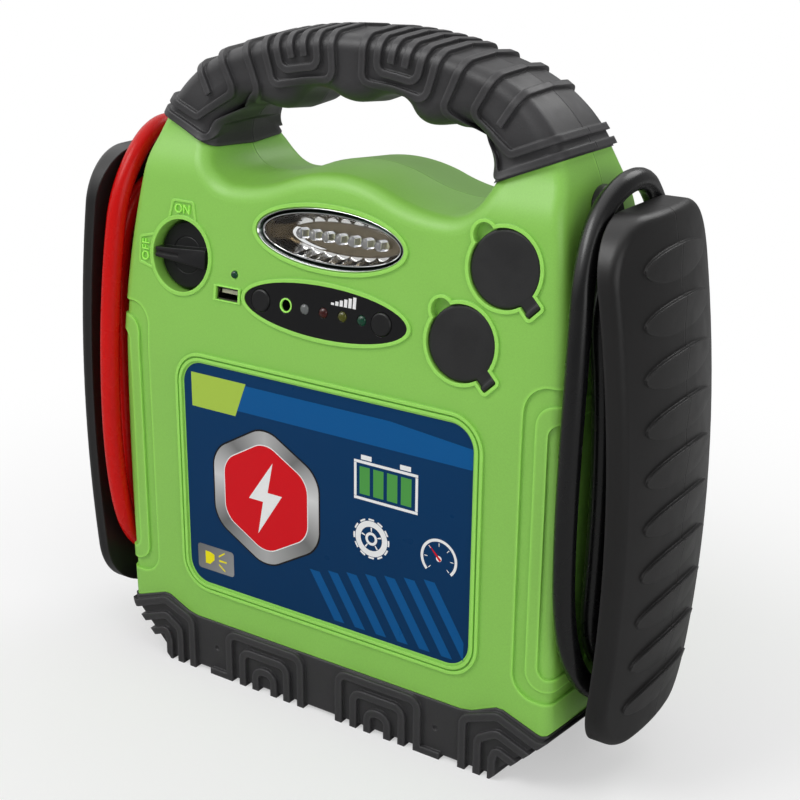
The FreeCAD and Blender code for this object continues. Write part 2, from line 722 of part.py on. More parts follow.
# Rubber grip: nested U ribs along the handle and nested hooks on each cuff
def polar(angle, radius):
    turn = math.radians(angle)
    centre = size("top_z") + 1 - size("handle_arc_radius")
    return (radius * math.sin(turn), centre + radius * math.cos(turn))


def grip_ribs():
    width = size("rib_width")
    top = size("handle_arc_radius") + 10
    lines = []
    lines.append([polar(a, r) for a, r in ((3.2, top), (3.2, 141.5), (10, 141.5), (17.2, 142.5), (17.2, top))])
    lines.append([polar(a, r) for a, r in ((6.2, top), (6.2, 147.5), (10.2, 147.5), (14.6, 148), (14.6, top))])
    lines.append([polar(a, r) for a, r in ((9, top), (9, 152.5))])
    lines.append([polar(a, r) for a, r in ((11.8, top), (11.8, 152.5))])
    cuff = size("cuff_x")
    far = size("flank_half_width") + 5
    lines.append([polar(21.5, top), polar(21, 142), (67, 295), (77.5, 289), (80, cuff_height(80, 2.6)),
                  (far, cuff_height(far, 2.6))])
    knee = cuff + 11.5
    lines.append([polar(27, top), polar(26.5, 147), (76, 299), (85, 293), (knee, cuff_height(knee, 10)),
                  (far, cuff_height(far, 10))])
    lines.append([polar(32, top), polar(32, 152)])
    ribs = []
    for points in lines:
        ribs.append(strip(points, width, FRONT, 0))
    return ribs


def grip_front():
    ribs = [rib_band.common(rib).common(grip_area) for rib in grip_ribs()]
    return whole(cover_band.common(grip_area).fuse(ribs))


# Rubber bumper: nested U ribs, stepped chevrons on the corners and two foot pads a side
def bumper_ribs():
    width = size("rib_width") + 0.6
    low, middle = -5, 35.5
    lines = []
    for offset, height in ((23.5, 27.5), (14.5, 20), (6, 12)):
        left, right = middle - offset, middle + offset
        lines.append([(left, low), (left, height), (right, height), (right, low)])
    for leg, knee, peak, end in ((84.5, 27.5, 34.6, 26.5), (93, 19.5, 25.5, 17.5), (101, 11, 16.5, 8.5)):
        lines.append([(leg, low), (leg, knee), (size("bumper_peak_x"), peak), (124, end), (150, end - 2)])
    ribs = []
    for points in lines:
        ribs.append(strip(points, width, FRONT, 0))
    return ribs + [box(60, 72, FRONT, 0, -5, 3.5)]


def bumper_front():
    ribs = [rib_band.common(rib).common(bumper_area) for rib in bumper_ribs()]
    dimple = disc(1.4, -60, -48.2, 68.5, 15.5)
    return whole(cover_band.common(bumper_area).fuse(ribs).cut(dimple))


# The pad under the middle, across the seam
def foot_pad():
    half, reach = size("foot_half_width"), size("foot_half_length")
    top = size("base_height") - size("rubber_proud")
    pad_block = box(-half, half, -reach, reach, 0, top)
    corners = [e for e in pad_block.Edges if abs(e.tangentAt(e.FirstParameter).z) > 0.9]
    return pad_block.makeFillet(half - 3, corners)


def edges_along_x(shape):
    return [e for e in shape.Edges if abs(e.tangentAt(e.FirstParameter).x) > 0.9]


# Side arms: a drum on the flank that the leads wind round, and a ribbed flange outside it
def arm_curve():
    peak, z, half = size("arm_peak_x"), size("arm_peak_z"), size("arm_half_depth")
    inner, edge = peak - size("arm_thick"), peak - size("arm_crown")
    a, b, c, d = [Vector(x, y, z) for x, y in ((inner, -half), (edge, -half), (edge, half), (inner, half))]
    face = Part.Face(Part.Wire([Part.LineSegment(a, b).toShape(), Part.Arc(b, Vector(peak, 0, z), c).toShape(),
                                Part.LineSegment(c, d).toShape(), Part.LineSegment(d, a).toShape()]))
    axis = Vector(peak - size("arm_bow_radius"), 0, z)
    face.rotate(axis, Vector(0, 1, 0), -13)
    return face.revolve(axis, Vector(0, 1, 0), 26)


# The bowed plate, cut to its rounded outline and then rounded all the way round on both sides
def arm_flange():
    half, low, high = size("arm_half_depth") - 0.2, size("arm_low_z"), size("arm_high_z")
    block = box(100, 180, -half, half, low, high)
    plate = arm_curve().common(block.makeFillet(size("arm_corner"), edges_along_x(block)))
    walls = []
    for face in plate.Faces:
        flat = isinstance(face.Surface, Part.Plane)
        if flat or (isinstance(face.Surface, Part.Cylinder) and abs(face.Surface.Axis.x) > 0.9):
            walls += face.Edges
    rims = [edge for edge in walls if sum(edge.isSame(other) for other in walls) == 1]
    reach = size("arm_crown") + 1
    outer = [edge for edge in rims if edge.CenterOfMass.x > arm_surface_x(edge.CenterOfMass.z) - reach]
    return plate.makeFillet(size("arm_round"), outer)


def arm_surface_x(z):
    radius = size("arm_bow_radius")
    return size("arm_peak_x") - radius + math.sqrt(radius ** 2 - (z - size("arm_peak_z")) ** 2)


def drum_shape():
    half = size("drum_half_width")
    outer = size("arm_peak_x") - size("arm_thick") + 2
    low, high = size("drum_low_z"), size("drum_high_z")
    core = box(100, outer, -half, half, low, high)
    core = core.makeFillet(half - 0.5, edges_along_x(core))
    leaf = box(100, outer, -half, half, low + 12, size("leaf_high_z"))
    crest = [e for e in edges_along_x(leaf) if e.CenterOfMass.z > high]
    return [core, rib_band.common(leaf.makeFillet(half - 0.5, crest))]


def arm_ribs(flange):
    ribs = []
    half = size("arm_rib_half_height")
    for i in range(int(size("arm_rib_count"))):
        z = size("arm_rib_high_z") - i * size("arm_rib_pitch")
        shrink = 4 if i == 0 else 1.5 if i == 1 else 0
        edge = Part.Ellipse(Vector(0, 0, 0), size("arm_rib_half_length") - shrink, half).toShape()
        edge.rotate(Vector(0, 0, 0), Vector(0, 0, 1), 90)
        edge.rotate(Vector(0, 0, 0), Vector(0, 1, 0), 90)
        edge.translate(Vector(size("flank_half_width") + 8, 0, z))
        blade = Part.Face(Part.Wire([edge])).extrude(Vector(60, 0, 0))
        tilted = flange.copy()
        pivot = Vector(arm_surface_x(z - half), 0, z - half)
        tilted.rotate(pivot, Vector(0, 1, 0), size("arm_rib_tilt"))
        ribs.append(blade.common(tilted))
    return ribs


def whole_arm():
    return arm_flange().fuse(arm_ribs(arm_curve()) + drum_shape())


def arm_front_right():
    half = box(90, 190, -80, 0, 0, 320)
    return whole_arm().common(half).cut(skin).removeSplitter()


# Everything seen on the sloping panel, made in the panel's own frame
def seated(body, x, z, sink=0):
    body.Placement = panel_place(x, z, sink)
    return body


def panel_pad(body, loop, depth, length):
    sketch = new_sketch(body, "XZ_Plane", [loop], depth)
    return pad(body, sketch, length)


def label_plate():
    body = new_body("label_plate")
    loop = rectangle("-label_width / 2", "label_z - label_height / 2",
                     "label_width / 2", "label_z + label_height / 2")
    plate = panel_pad(body, loop, "half_depth - label_thick", "label_thick")
    corners = ["Edge%d" % (i + 1) for i, e in enumerate(plate.Shape.Edges)
               if abs(e.tangentAt(e.FirstParameter).y) > 0.9]
    fillet = body.newObject("PartDesign::Fillet", "label_corners")
    fillet.Base = (plate, corners)
    fillet.setExpression("Radius", bound("label_radius"))
    doc.recompute()


def isolator_knob():
    body = turned("isolator_knob", [("0", "knob_sink"), ("knob_radius - 0.8", "knob_sink"),
                                    ("knob_radius", "knob_sink + 0.8"), ("knob_radius", "isolator_depth - 0.5"),
                                    ("shaft_radius", "isolator_depth - 0.5"),
                                    ("shaft_radius", "isolator_depth + 12"), ("0", "isolator_depth + 12")])
    half, wide = "bar_length / 2", "bar_width / 2"
    loop = [("-(%s)" % half, "-1.5"), ("-(%s) + 3" % half, "-(%s)" % wide), ("(%s) - 3" % half, "-(%s)" % wide),
            (half, "-2"), (half, "2"), ("(%s) - 3" % half, wide), ("-(%s) + 3" % half, wide),
            ("-(%s)" % half, "1.5")]
    panel_pad(body, loop, "-knob_sink - 0.2", "knob_sink + 0.2 + bar_proud")
    groove = new_sketch(body, "XZ_Plane", [rectangle("-(%s) + 1" % half, "-0.7", "-4", "0.7")], "bar_proud")
    pocket(body, groove, "0.8")
    seated(body, *ISOLATOR)


def isolator_switch():
    body = turned("isolator_switch", [("shaft_radius + seat_gap", "isolator_depth + 2"),
                                      ("15", "isolator_depth + 2"),
                                      ("15", "isolator_depth + 18"), ("0", "isolator_depth + 18"),
                                      ("0", "isolator_depth + 12.4"),
                                      ("shaft_radius + seat_gap", "isolator_depth + 12.4")])
    seated(body, *ISOLATOR)


def lamp():
    half_w, half_h, deep = size("lamp_half_width"), size("lamp_half_height"), size("lamp_depth")
    lens = size("lens_thick")
    outer = oval(half_w - 0.1, half_h - 0.1, 0.2, deep)
    seat = oval(half_w - 1.4, half_h - 1.4, -1, 1 + lens)
    bowl = Part.makeLoft([ellipse_wire(half_w - 2.6, half_h - 2.6, 0.9),
                          ellipse_wire(half_w - 16, half_h - 7, deep - 1.5)], True, True)
    made("lamp_reflector", outer.cut([seat, bowl])).Placement = panel_place(*LAMP)
    made("lamp_lens", oval(half_w - 1.5, half_h - 1.5, 0.9, 0.9 + lens)).Placement = panel_place(*LAMP)
    leds = []
    for x in (-18, 0, 18):
        base = disc(3, deep - 2.1, deep - 1.5, x)
        dome = Part.makeSphere(2.4, Vector(x, deep - 2.1, 0)).common(box(-30, 30, deep - 6, deep - 2, -5, 5))
        leds.append(base.fuse(dome))
    made("lamp_leds", Part.makeCompound(leds)).Placement = panel_place(*LAMP)


def ellipse_wire(half_width, half_height, y):
    edge = Part.Ellipse(Vector(0, y, 0), half_width, half_height).toShape()
    edge.rotate(Vector(0, y, 0), Vector(1, 0, 0), 90)
    return Part.Wire([edge])


def control_panel():
    plate = oval(size("control_half_width"), size("control_half_height"), -size("control_thick") + 0.5,
                 size("control_thick") - 0.5)
    holes = [disc(size("button_radius") + size("running_gap"), -5, 5, x) for x in BUTTONS.values()]
    holes += [disc(size("led_radius") + size("seat_gap"), -5, 5, x) for x in LEDS.values()]
    holes.append(disc(size("jack_radius") + size("seat_gap"), -5, 5, JACK_X))
    made("control_panel", plate.cut(holes)).Placement = panel_place(*CONTROL)
    board = box(-50, 50, size("board_depth"), size("board_depth") + size("board_thick"), -12, 12)
    made("control_board", board).Placement = panel_place(*CONTROL)
    for label, x in BUTTONS.items():
        top = "-0.5 - button_proud"
        flange = "wall + running_gap"
        body = turned(label, [("0", top), ("button_radius - 0.6", top), ("button_radius", top + " + 0.6"),
                              ("button_radius", flange), ("button_radius + 1.4", flange),
                              ("button_radius + 1.4", flange + " + 1"), ("2", flange + " + 1"),
                              ("2", "board_depth - button_travel - running_gap"),
                              ("0", "board_depth - button_travel - running_gap")])
        seated(body, CONTROL[0] + x, CONTROL[1])
    for label, x in LEDS.items():
        body = turned(label, [("0", "-0.9"), ("led_radius - 1", "-0.9"), ("led_radius", "-0.2"),
                              ("led_radius", "board_depth"), ("0", "board_depth")])
        seated(body, CONTROL[0] + x, CONTROL[1])
    body = turned("charging_jack", [("jack_bore", "-0.5"), ("jack_radius", "-0.5"),
                                    ("jack_radius", "board_depth"),
                                    ("0", "board_depth"), ("0", "board_depth - 1.5"),
                                    ("jack_bore", "board_depth - 1.5")])
    seated(body, CONTROL[0] + JACK_X, CONTROL[1])


def usb():
    wide, high, deep = size("usb_width") / 2, size("usb_height") / 2, size("usb_depth")
    shell = box(-wide - 0.65, wide + 0.65, 0.8, deep, -high - 0.65, high + 0.65)
    made("usb_socket", shell.cut(box(-wide, wide, 0, deep - 1, -high, high))).Placement = panel_place(*USB)
    tongue = box(-wide + 0.8, wide - 0.8, 2.6, deep - 1, -high + 2.5, -high + 4.4)
    made("usb_tongue", tongue).Placement = panel_place(*USB)
    body = turned("usb_led", [("0", "-0.7"), ("usb_led_radius - 0.8", "-0.7"), ("usb_led_radius", "-0.1"),
                              ("usb_led_radius", "6"), ("0", "6")])
    seated(body, -size("usb_led_x"), size("usb_led_z"))


def sockets():
    for name, place in SOCKETS.items():
        end = "cap_seat + socket_length"
        lip = "cap_seat - 0.8"
        outer = "socket_bore + socket_wall"
        body = turned(name + "_socket", [("socket_bore", lip), (outer + " + 2", lip),
                                         (outer + " + 2", "cap_seat"), (outer, "cap_seat"),
                                         (outer, end), ("0", end), ("0", end + " - 5"), ("2.2", end + " - 5"),
                                         ("2.2", end + " - 2"), ("socket_bore", end + " - 2")])
        seated(body, *place)
        sink, depth, round_off = size("cap_sink"), size("hinge_depth"), size("strap_radius")
        under = sink + size("cap_thick")
        cap = disc(size("cap_radius"), sink, under)
        cap = cap.makeFillet(size("cap_round"), [e for e in cap.Edges if e.BoundBox.YMax < sink + 0.1])
        plug = disc(size("plug_radius"), under, under + size("plug_depth"))
        plug = plug.cut(disc(size("plug_radius") - 2, under, under + size("plug_depth") + 1))
        half = size("strap_width") / 2
        strap = box(size("cap_radius") - 3, size("strap_hinge"), sink + 0.1, under - 0.3, -half, half)
        root = Part.makeCylinder(round_off, 2 * half, Vector(size("strap_hinge"), depth, -half))
        strap = strap.fuse(root)
        strap.rotate(Vector(0, 0, 0), Vector(0, 1, 0), 45)
        made(name + "_socket_cap", cap.fuse([plug, strap]).removeSplitter()).Placement = panel_place(*place)


# Inside the case
def bound_box(label, x, y, z, length, width, height):
    block = doc.addObject("Part::Box", label)
    block.Label = label
    for name, text in (("Length", length), ("Width", width), ("Height", height), ("Placement.Base.x", x),
                       ("Placement.Base.y", y), ("Placement.Base.z", z)):
        block.setExpression(name, bound(text))
    doc.recompute()
    return block


def inner_parts():
    parts.append(bound_box("battery", "-battery_length / 2", "-battery_front", "base_height + wall",
                           "battery_length", "battery_depth", "battery_height"))
    top = size("base_height") + size("wall") + size("battery_height")
    posts = []
    for x in (-size("terminal_x"), size("terminal_x")):
        y = -size("terminal_y")
        block = box(x - 6, x + 6, y - 5, y + 5, top, top + 9)
        bolt = Part.makeCylinder(3, 4, Vector(x, y, top + 9))
        posts.append(block.fuse(bolt))
    made("battery_terminals", Part.makeCompound(posts))
    thick = size("bar_thick")
    radius, y, length = size("motor_radius"), -size("motor_y"), size("motor_length")
    z = top + thick + radius + 1.5
    bar = box(-126, 126, y - 12, y + 12, top, top + thick)
    saddle = box(-length + 6, -6, y - 12, y + 12, top + thick, z - 5)
    axis = Vector(-length - 5, y, z)
    saddle = saddle.cut(Part.makeCylinder(radius, length + 10, axis, Vector(1, 0, 0)))
    foot = box(2, 6, y - 12, y + 12, top + thick, top + thick + 8)
    made("battery_clamp_bar", bar.fuse([saddle, foot]).removeSplitter())
    motor = Part.makeCylinder(radius, length, Vector(-length, y, z), Vector(1, 0, 0))
    rear = Part.makeCylinder(5, 3, Vector(-length - 3, y, z), Vector(1, 0, 0))
    made("compressor_motor", motor.fuse(rear).removeSplitter())
    block = box(0, size("pump_length"), y - 12, y + 13, z - 14, z + 14)
    block = block.cut(box(1.9, 6.1, y - 12.1, y + 12.1, top, top + thick + 8.1))
    barrel = Part.makeCylinder(11, 14, Vector(24, y, z + 14))
    fins = [Part.makeCylinder(13, 1.4, Vector(24, y, z + 16 + 3.4 * i)) for i in range(4)]
    made("compressor_pump", block.fuse([barrel] + fins).removeSplitter())


def rear_parts():
    depth = size("bay_depth")
    radius, deep = size("gauge_radius"), size("gauge_depth")
    cup = disc(radius, 4.5, depth + deep).fuse(disc(radius + 2, depth - 1.5, depth))
    cup = cup.cut([disc(radius - 1.6, 4, size("dial_depth")), disc(0.85, 5, size("dial_depth") + 3)])
    dial = disc(radius - 1.65, size("dial_depth") - 0.8, size("dial_depth")).cut(disc(0.85, 0, 20))
    lens = disc(radius - 1.65, 4.9, 5.9)
    hub = disc(2.4, 6.5, 7.6).fuse(disc(0.8, 7.6, size("dial_depth") + 2))
    tip = size("needle_length")
    arm = prism([(-0.9, -5), (0.9, -5), (0.25, tip), (-0.25, tip)], 6.7, 7.3)
    needle = hub.fuse(arm)
    needle.rotate(Vector(0, 0, 0), Vector(0, 1, 0), 135)
    gauge_x = -size("gauge_x")
    made("gauge_body", rear_panel(cup, gauge_x))
    made("gauge_dial", rear_panel(dial, gauge_x))
    made("gauge_lens", rear_panel(lens, gauge_x))
    made("gauge_needle", rear_panel(needle, gauge_x))
    half_w, half_h = ROCKER_HALF_WIDTH, ROCKER_HALF_HEIGHT
    lip = box(-half_w - 1, half_w + 1, depth - 1, depth, -half_h - 1, half_h + 1)
    frame = box(-half_w, half_w, depth - 1, depth + 12, -half_h, half_h).fuse(lip)
    frame = frame.cut(box(-half_w + 0.9, half_w - 0.9, depth - 2, depth + 10, -half_h + 0.9, half_h - 0.9))
    pivot = size("rocker_depth")
    pins = [Part.makeCylinder(1.2, 1.2, Vector(x, pivot, 0), Vector(1, 0, 0)) for x in (-5.7, 4.5)]
    frame = frame.fuse(pins)
    half = size("rocker_width") / 2
    rocker = Part.makeCylinder(size("rocker_radius"), 2 * half, Vector(-half, pivot, 0), Vector(1, 0, 0))
    rocker = rocker.common(box(-half, half, pivot - 4.7, pivot + 3, -10, 10))
    dish = Part.makeCylinder(40, 2 * half + 2, Vector(-half - 1, pivot - 44, 0), Vector(1, 0, 0))
    pin_holes = [Part.makeCylinder(1.25, 1.4, Vector(x, pivot, 0), Vector(1, 0, 0)) for x in (-5.6, 4.2)]
    rocker = rocker.cut([dish] + pin_holes)
    rocker.rotate(Vector(0, pivot, 0), Vector(1, 0, 0), size("rocker_tilt"))
    made("rocker_frame", rear_panel(frame, size("rocker_x")))
    made("compressor_rocker", rear_panel(rocker, size("rocker_x")))
    outlet = disc(size("hose_radius"), 3, depth + 16).fuse(disc(size("hose_radius") + 2, depth - 2, depth))
    outlet = outlet.cut(disc(size("hose_bore"), 2, depth + 14))
    made("hose_outlet", rear_panel(outlet, size("hose_x")))


# Leads: from the gland down the flank, wound twice round the drum, out to the parked clamp
def lead_route():
    x, y, top = size("gland_x"), size("gland_y"), size("gland_top")
    clamp = (size("clamp_x") + 16.5, size("clamp_y"), size("clamp_z") - size("clamp_handle"))
    end = (clamp[0], clamp[1], clamp[2] - 20)
    return [(x, y, top), (x, y, 124), (141.4, 34.5, 160), (139.8, 34, 198), (135.8, 34, 235),
            (132.8, 14.1, 255.5), (132.8, -14.1, 255.5), (135.8, -34, 235), (139.8, -34.2, 197),
            (141.2, -33.8, 154), (141, -34.3, 116), (139.6, -34, 78), (139, -9.1, 51.8), (139, 26.1, 51.8), (137, 50.5, 77),
            (133.6, 52, 112), (133.5, 51.2, 158), (133, 48, 200), (132, 44.4, 228), (130.6, 40.4, 250),
            (129.2, 27.5, 271), (131.6, 10, 281.5), (131.6, -10, 281.5), (129.2, -27.5, 271),
            (130.6, -40.4, 250), (131.9, -44.4, 227), (133, -48, 198), (133.5, -50.8, 166), (133.9, -51.9, 128.2), (134.1, -50, 97),
            (135.7, -44, 71.9), (138, -33, 55), (139.4, -16, 43.5), (139.6, 6, 37.5), (139.5, 29, 38),
            (138, 49, 45.5), (132.6, 62.5, 61), end, clamp]


def lead_tube():
    points = [Vector(*p) for p in lead_route()]
    edges, radii = [], []
    here = points[0]
    for before, point, after in zip(points, points[1:], points[2:]):
        inward, onward = (point - before), (after - point)
        turn = inward.getAngle(onward)
        run = 0.45 * min(inward.Length, onward.Length)
        radii.append(run / math.tan(turn / 2))
        inward.normalize()
        onward.normalize()
        start, end = point - inward * run, point + onward * run
        bisector = (onward - inward).normalize()
        rise = radii[-1] / math.cos(turn / 2) - radii[-1]
        edges.append(Part.LineSegment(here, start).toShape())
        edges.append(Part.Arc(start, point + bisector * rise, end).toShape())
        here = end
    edges.append(Part.LineSegment(here, points[-1]).toShape())
    path = Part.Wire(edges)
    ring = Part.Wire([Part.Circle(points[0], points[1] - points[0], size("lead_diameter") / 2).toShape()])
    tube = path.makePipeShell([ring], True, False)
    section = math.pi * size("lead_diameter") ** 2 / 4
    print("lead radii", [round(r, 1) for r in radii])
    print("lead length %.1f volume ratio %.4f" % (path.Length, tube.Volume / (section * path.Length)))
    samples = [path.getElement("Edge%d" % (i + 1)) for i in range(len(edges))]
    line = []
    for edge in samples:
        line += edge.discretize(Distance=2)[:-1]
    gaps = [(a - b).Length for i, a in enumerate(line) for b in line[i + 12:]]
    print("least gap between turns %.2f" % (min(gaps) - size("lead_diameter")))
    return tube


def lead_gland():
    x, y, z = size("gland_x"), size("gland_y"), size("gland_z")
    radius, top = size("gland_radius"), size("gland_top")
    tip = size("lead_diameter") / 2 + 0.8
    column = Part.makeCylinder(radius, 12, Vector(x, y, z - 6))
    cone = Part.makeCone(radius, tip, top - z - 6, Vector(x, y, z + 6))
    stub = Part.makeCylinder(size("gland_stub"), 24, Vector(x - 24, y, z), Vector(1, 0, 0))
    return column.fuse([cone, stub]).removeSplitter()


# A clamp half seen from behind, as (u, v) points from the pivot; the other half is its mirror.
def clamp_half(handle_in, handle_out):
    gap, reach, low = size("clamp_gap"), size("clamp_reach"), -size("clamp_handle")
    points = [(gap, reach), (gap, 42), (5.5, 36), (6.5, 22), (gap, 9.5), (1, 0), (1.7, -8.5), (handle_in, low),
              (handle_out, low), (handle_out + 0.5, low + 18), (17, -30), (11.5, -8), (11.5, 8), (15, 24),
              (14.5, 42), (9, 58), (5, reach)]
    half = size("clamp_thick") / 2
    middle = size("clamp_y")
    return prism([(size("clamp_x") + u, size("clamp_z") + v) for u, v in points], middle - half, middle + half)


def pivot_disc(radius, y0, y1):
    return disc(radius, size("clamp_y") + y0, size("clamp_y") + y1, size("clamp_x"), size("clamp_z"))


def clamp():
    hub, half, pin = size("clamp_hub"), size("clamp_thick") / 2, size("clamp_pin")
    gap = size("running_gap")
    fixed = clamp_half(10.5, 22.5).cut(pivot_disc(hub + gap, -half - 1, -2.5))
    fixed = fixed.cut(pivot_disc(hub + gap, 2.5, half + 1)).fuse(pivot_disc(hub, -2.5, 2.5))
    fixed = fixed.cut(pivot_disc(pin + 0.05, -half, half))
    middle = size("clamp_x")
    moving = clamp_half(17, 24).mirror(Vector(middle, 0, 0), Vector(1, 0, 0))
    moving = moving.cut(pivot_disc(hub + gap, -2.5 - gap, 2.5 + gap))
    moving = moving.fuse([pivot_disc(hub, -half, -2.5 - gap), pivot_disc(hub, 2.5 + gap, half)])
    moving = moving.cut(pivot_disc(pin + 0.05, -half - 1, half + 1))
    rod = pivot_disc(pin, -half - 1, half + 1).fuse([pivot_disc(pin + 1.2, -half - 1.8, -half - 0.3),
                                                     pivot_disc(pin + 1.2, half + 0.3, half + 1.8)])
    pieces = {"fixed_jaw": fixed, "moving_jaw": moving, "pin": rod}
    return {name: piece.removeSplitter() for name, piece in pieces.items()}


def leads():
    tube, gland, pieces = lead_tube(), lead_gland(), clamp()
    for colour, turn in (("black", lambda shape: shape), ("red", mirrored_x)):
        made(colour + "_lead", turn(tube))
        made(colour + "_lead_gland", turn(gland))
        for name, shape in pieces.items():
            made("%s_clamp_%s" % (colour, name), turn(shape))


made("front_shell", front_shell())
made("rear_shell", rear_shell())
made("park_lugs", park_lugs())
made("case_screws", case_screws())
grip = grip_front()
made("grip_front", grip)
made("grip_rear", mirrored(grip))
bumper = bumper_front()
made("bumper_front", bumper)
made("bumper_rear", mirrored(bumper))
made("foot_pad", foot_pad())
arm = arm_front_right()
made("side_arm_front_right", arm)
made("side_arm_front_left", mirrored_x(arm))
made("side_arm_rear_right", mirrored(arm))
made("side_arm_rear_left", mirrored_x(mirrored(arm)))
label_plate()
isolator_knob()
isolator_switch()
lamp()
control_panel()
usb()
sockets()
inner_parts()
rear_parts()
leads()


def write_parts():
    os.makedirs("parts", exist_ok=True)
    doc.recompute()
    for item in doc.Objects:
        if "Invalid" in item.State or "Error" in item.State:
            raise RuntimeError("%s did not compute: %s" % (item.Label, item.State))
    for piece in parts:
        if piece.Shape.isNull() or not piece.Shape.isValid():
            raise RuntimeError("%s has no valid shape" % piece.Label)
    for piece in parts:
        piece.Shape.exportStep("parts/%s.step" % piece.Label)
        print("%-24s solids %d faces %d volume %.0f" % (piece.Label, len(piece.Shape.Solids),
                                                        len(piece.Shape.Faces), piece.Shape.Volume))


write_parts()
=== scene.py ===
import math

import bmesh
import bpy
from mathutils import Matrix, Vector


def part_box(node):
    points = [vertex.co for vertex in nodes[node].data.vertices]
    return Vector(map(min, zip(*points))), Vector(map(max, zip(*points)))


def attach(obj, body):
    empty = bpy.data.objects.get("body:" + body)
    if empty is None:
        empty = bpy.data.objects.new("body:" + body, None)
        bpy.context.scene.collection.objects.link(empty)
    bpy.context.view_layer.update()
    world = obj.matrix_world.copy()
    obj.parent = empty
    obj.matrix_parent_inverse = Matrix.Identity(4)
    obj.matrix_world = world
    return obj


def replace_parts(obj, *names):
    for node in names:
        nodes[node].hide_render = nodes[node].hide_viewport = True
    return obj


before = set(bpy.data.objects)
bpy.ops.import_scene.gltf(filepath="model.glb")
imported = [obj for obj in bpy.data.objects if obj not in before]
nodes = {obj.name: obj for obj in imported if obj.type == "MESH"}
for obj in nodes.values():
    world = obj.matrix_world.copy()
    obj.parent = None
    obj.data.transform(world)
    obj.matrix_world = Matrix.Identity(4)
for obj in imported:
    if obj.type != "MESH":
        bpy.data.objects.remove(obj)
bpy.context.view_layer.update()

scene = bpy.context.scene
scene.view_settings.view_transform = "Standard"

# Camera. It stands in front of the pack, to its right and a little above it,
# with the long lens of a catalogue picture.
VIEW_RIGHT = Vector((0.83254, 0.55387, 0.01001))
VIEW_UP = Vector((-0.19325, 0.27345, 0.94227))
VIEW_FORWARD = Vector((-0.51916, 0.78641, -0.33470))
CAMERA_PLACE = Vector((0.386616, -0.564660, 0.398347))
camera = bpy.data.objects.new("camera", bpy.data.cameras.new("camera"))
camera.data.lens = 65.158
camera.data.sensor_width = 36
camera.matrix_world = (Matrix.Translation(CAMERA_PLACE)
                       @ Matrix((VIEW_RIGHT, VIEW_UP, -VIEW_FORWARD)).transposed().to_4x4())
scene.collection.objects.link(camera)
scene.camera = camera


# Leads: soft jacketed copper leads as thick as a finger, black on the right and red on the left.
# Each leaves its gland on the flank, goes twice round the drum and ends in the clamp parked behind.
LEAD_DIAMETER = 0.010
GLAND_X, GLAND_Y, GLAND_TOP = 0.140, 0.034, 0.098
SIDES = {"black": 1, "red": -1}
LEAD_ROUTE = [
    (140, 34, 98), (140, 34, 124), (141.4, 34.5, 160), (139.8, 34, 198), (135.8, 34, 235),
    (132.8, 14.1, 255.5), (132.8, -14.1, 255.5), (135.8, -34, 235), (139.8, -34.2, 197), (141.2, -33.8, 154),
    (141, -34.3, 116), (139.6, -34, 78), (139, -9.1, 51.8), (139, 26.1, 51.8), (137, 50.5, 77),
    (133.6, 52, 112), (133.5, 51.2, 158), (133, 48, 200), (132, 44.4, 228), (130.6, 40.4, 250),
    (129.2, 27.5, 271), (131.6, 10, 281.5), (131.6, -10, 281.5), (129.2, -27.5, 271), (130.6, -40.4, 250),
    (131.9, -44.4, 227), (133, -48, 198), (133.5, -50.8, 166), (133.9, -51.9, 128.2), (134.1, -50, 97),
    (135.7, -44, 71.9), (138, -33, 55), (139.4, -16, 43.5), (139.6, 6, 37.5), (139.5, 29, 38),
    (138, 49, 45.5), (132.6, 62.5, 61), (126.5, 65, 82), (126.5, 65, 102)]


def wired(tree, kind, inputs=None, **settings):
    """A shader node with its settings, and its inputs given as numbers or as sockets to link."""
    node = tree.nodes.new("ShaderNode" + kind)
    for name, value in settings.items():
        setattr(node, name, value)
    for name, value in (inputs or {}).items():
        if isinstance(value, bpy.types.NodeSocket):
            tree.links.new(value, node.inputs[name])
        else:
            node.inputs[name].default_value = value
    return node


def sum_of(tree, *numbers):
    """first * second + third, of numbers or sockets."""
    return wired(tree, "Math", dict(enumerate(numbers)), operation="MULTIPLY_ADD").outputs[0]


def object_place(tree):
    """The place of each point in the object's own coordinates."""
    return wired(tree, "TexCoord").outputs["Object"]


def noise(tree, place, per_metre, **inputs):
    """A noise between about 0 and 1 with so many spots to the metre."""
    return wired(tree, "TexNoise", {"Vector": place, "Scale": per_metre, **inputs}).outputs[0]


def new_group(name, inputs, outputs):
    """An empty node group with its named inputs and outputs, ready to be wired."""
    tree = bpy.data.node_groups.new(name, "ShaderNodeTree")
    for label, value in inputs.items():
        kind = "NodeSocketColor" if isinstance(value, tuple) else "NodeSocketFloat"
        tree.interface.new_socket(name=label, in_out="INPUT", socket_type=kind).default_value = value
    for label, kind in outputs.items():
        tree.interface.new_socket(name=label, in_out="OUTPUT", socket_type="NodeSocket" + kind)
    return tree, tree.nodes.new("NodeGroupInput").outputs, tree.nodes.new("NodeGroupOutput").inputs


TONE_PER_METRE, SMUDGES_PER_METRE = 34.0, 85.0
SEAM_WIDER, SEAM_SHADE, SEAM_DEPTH = 1.6, -0.75, -2.5
EDGE_REACH = 0.0016


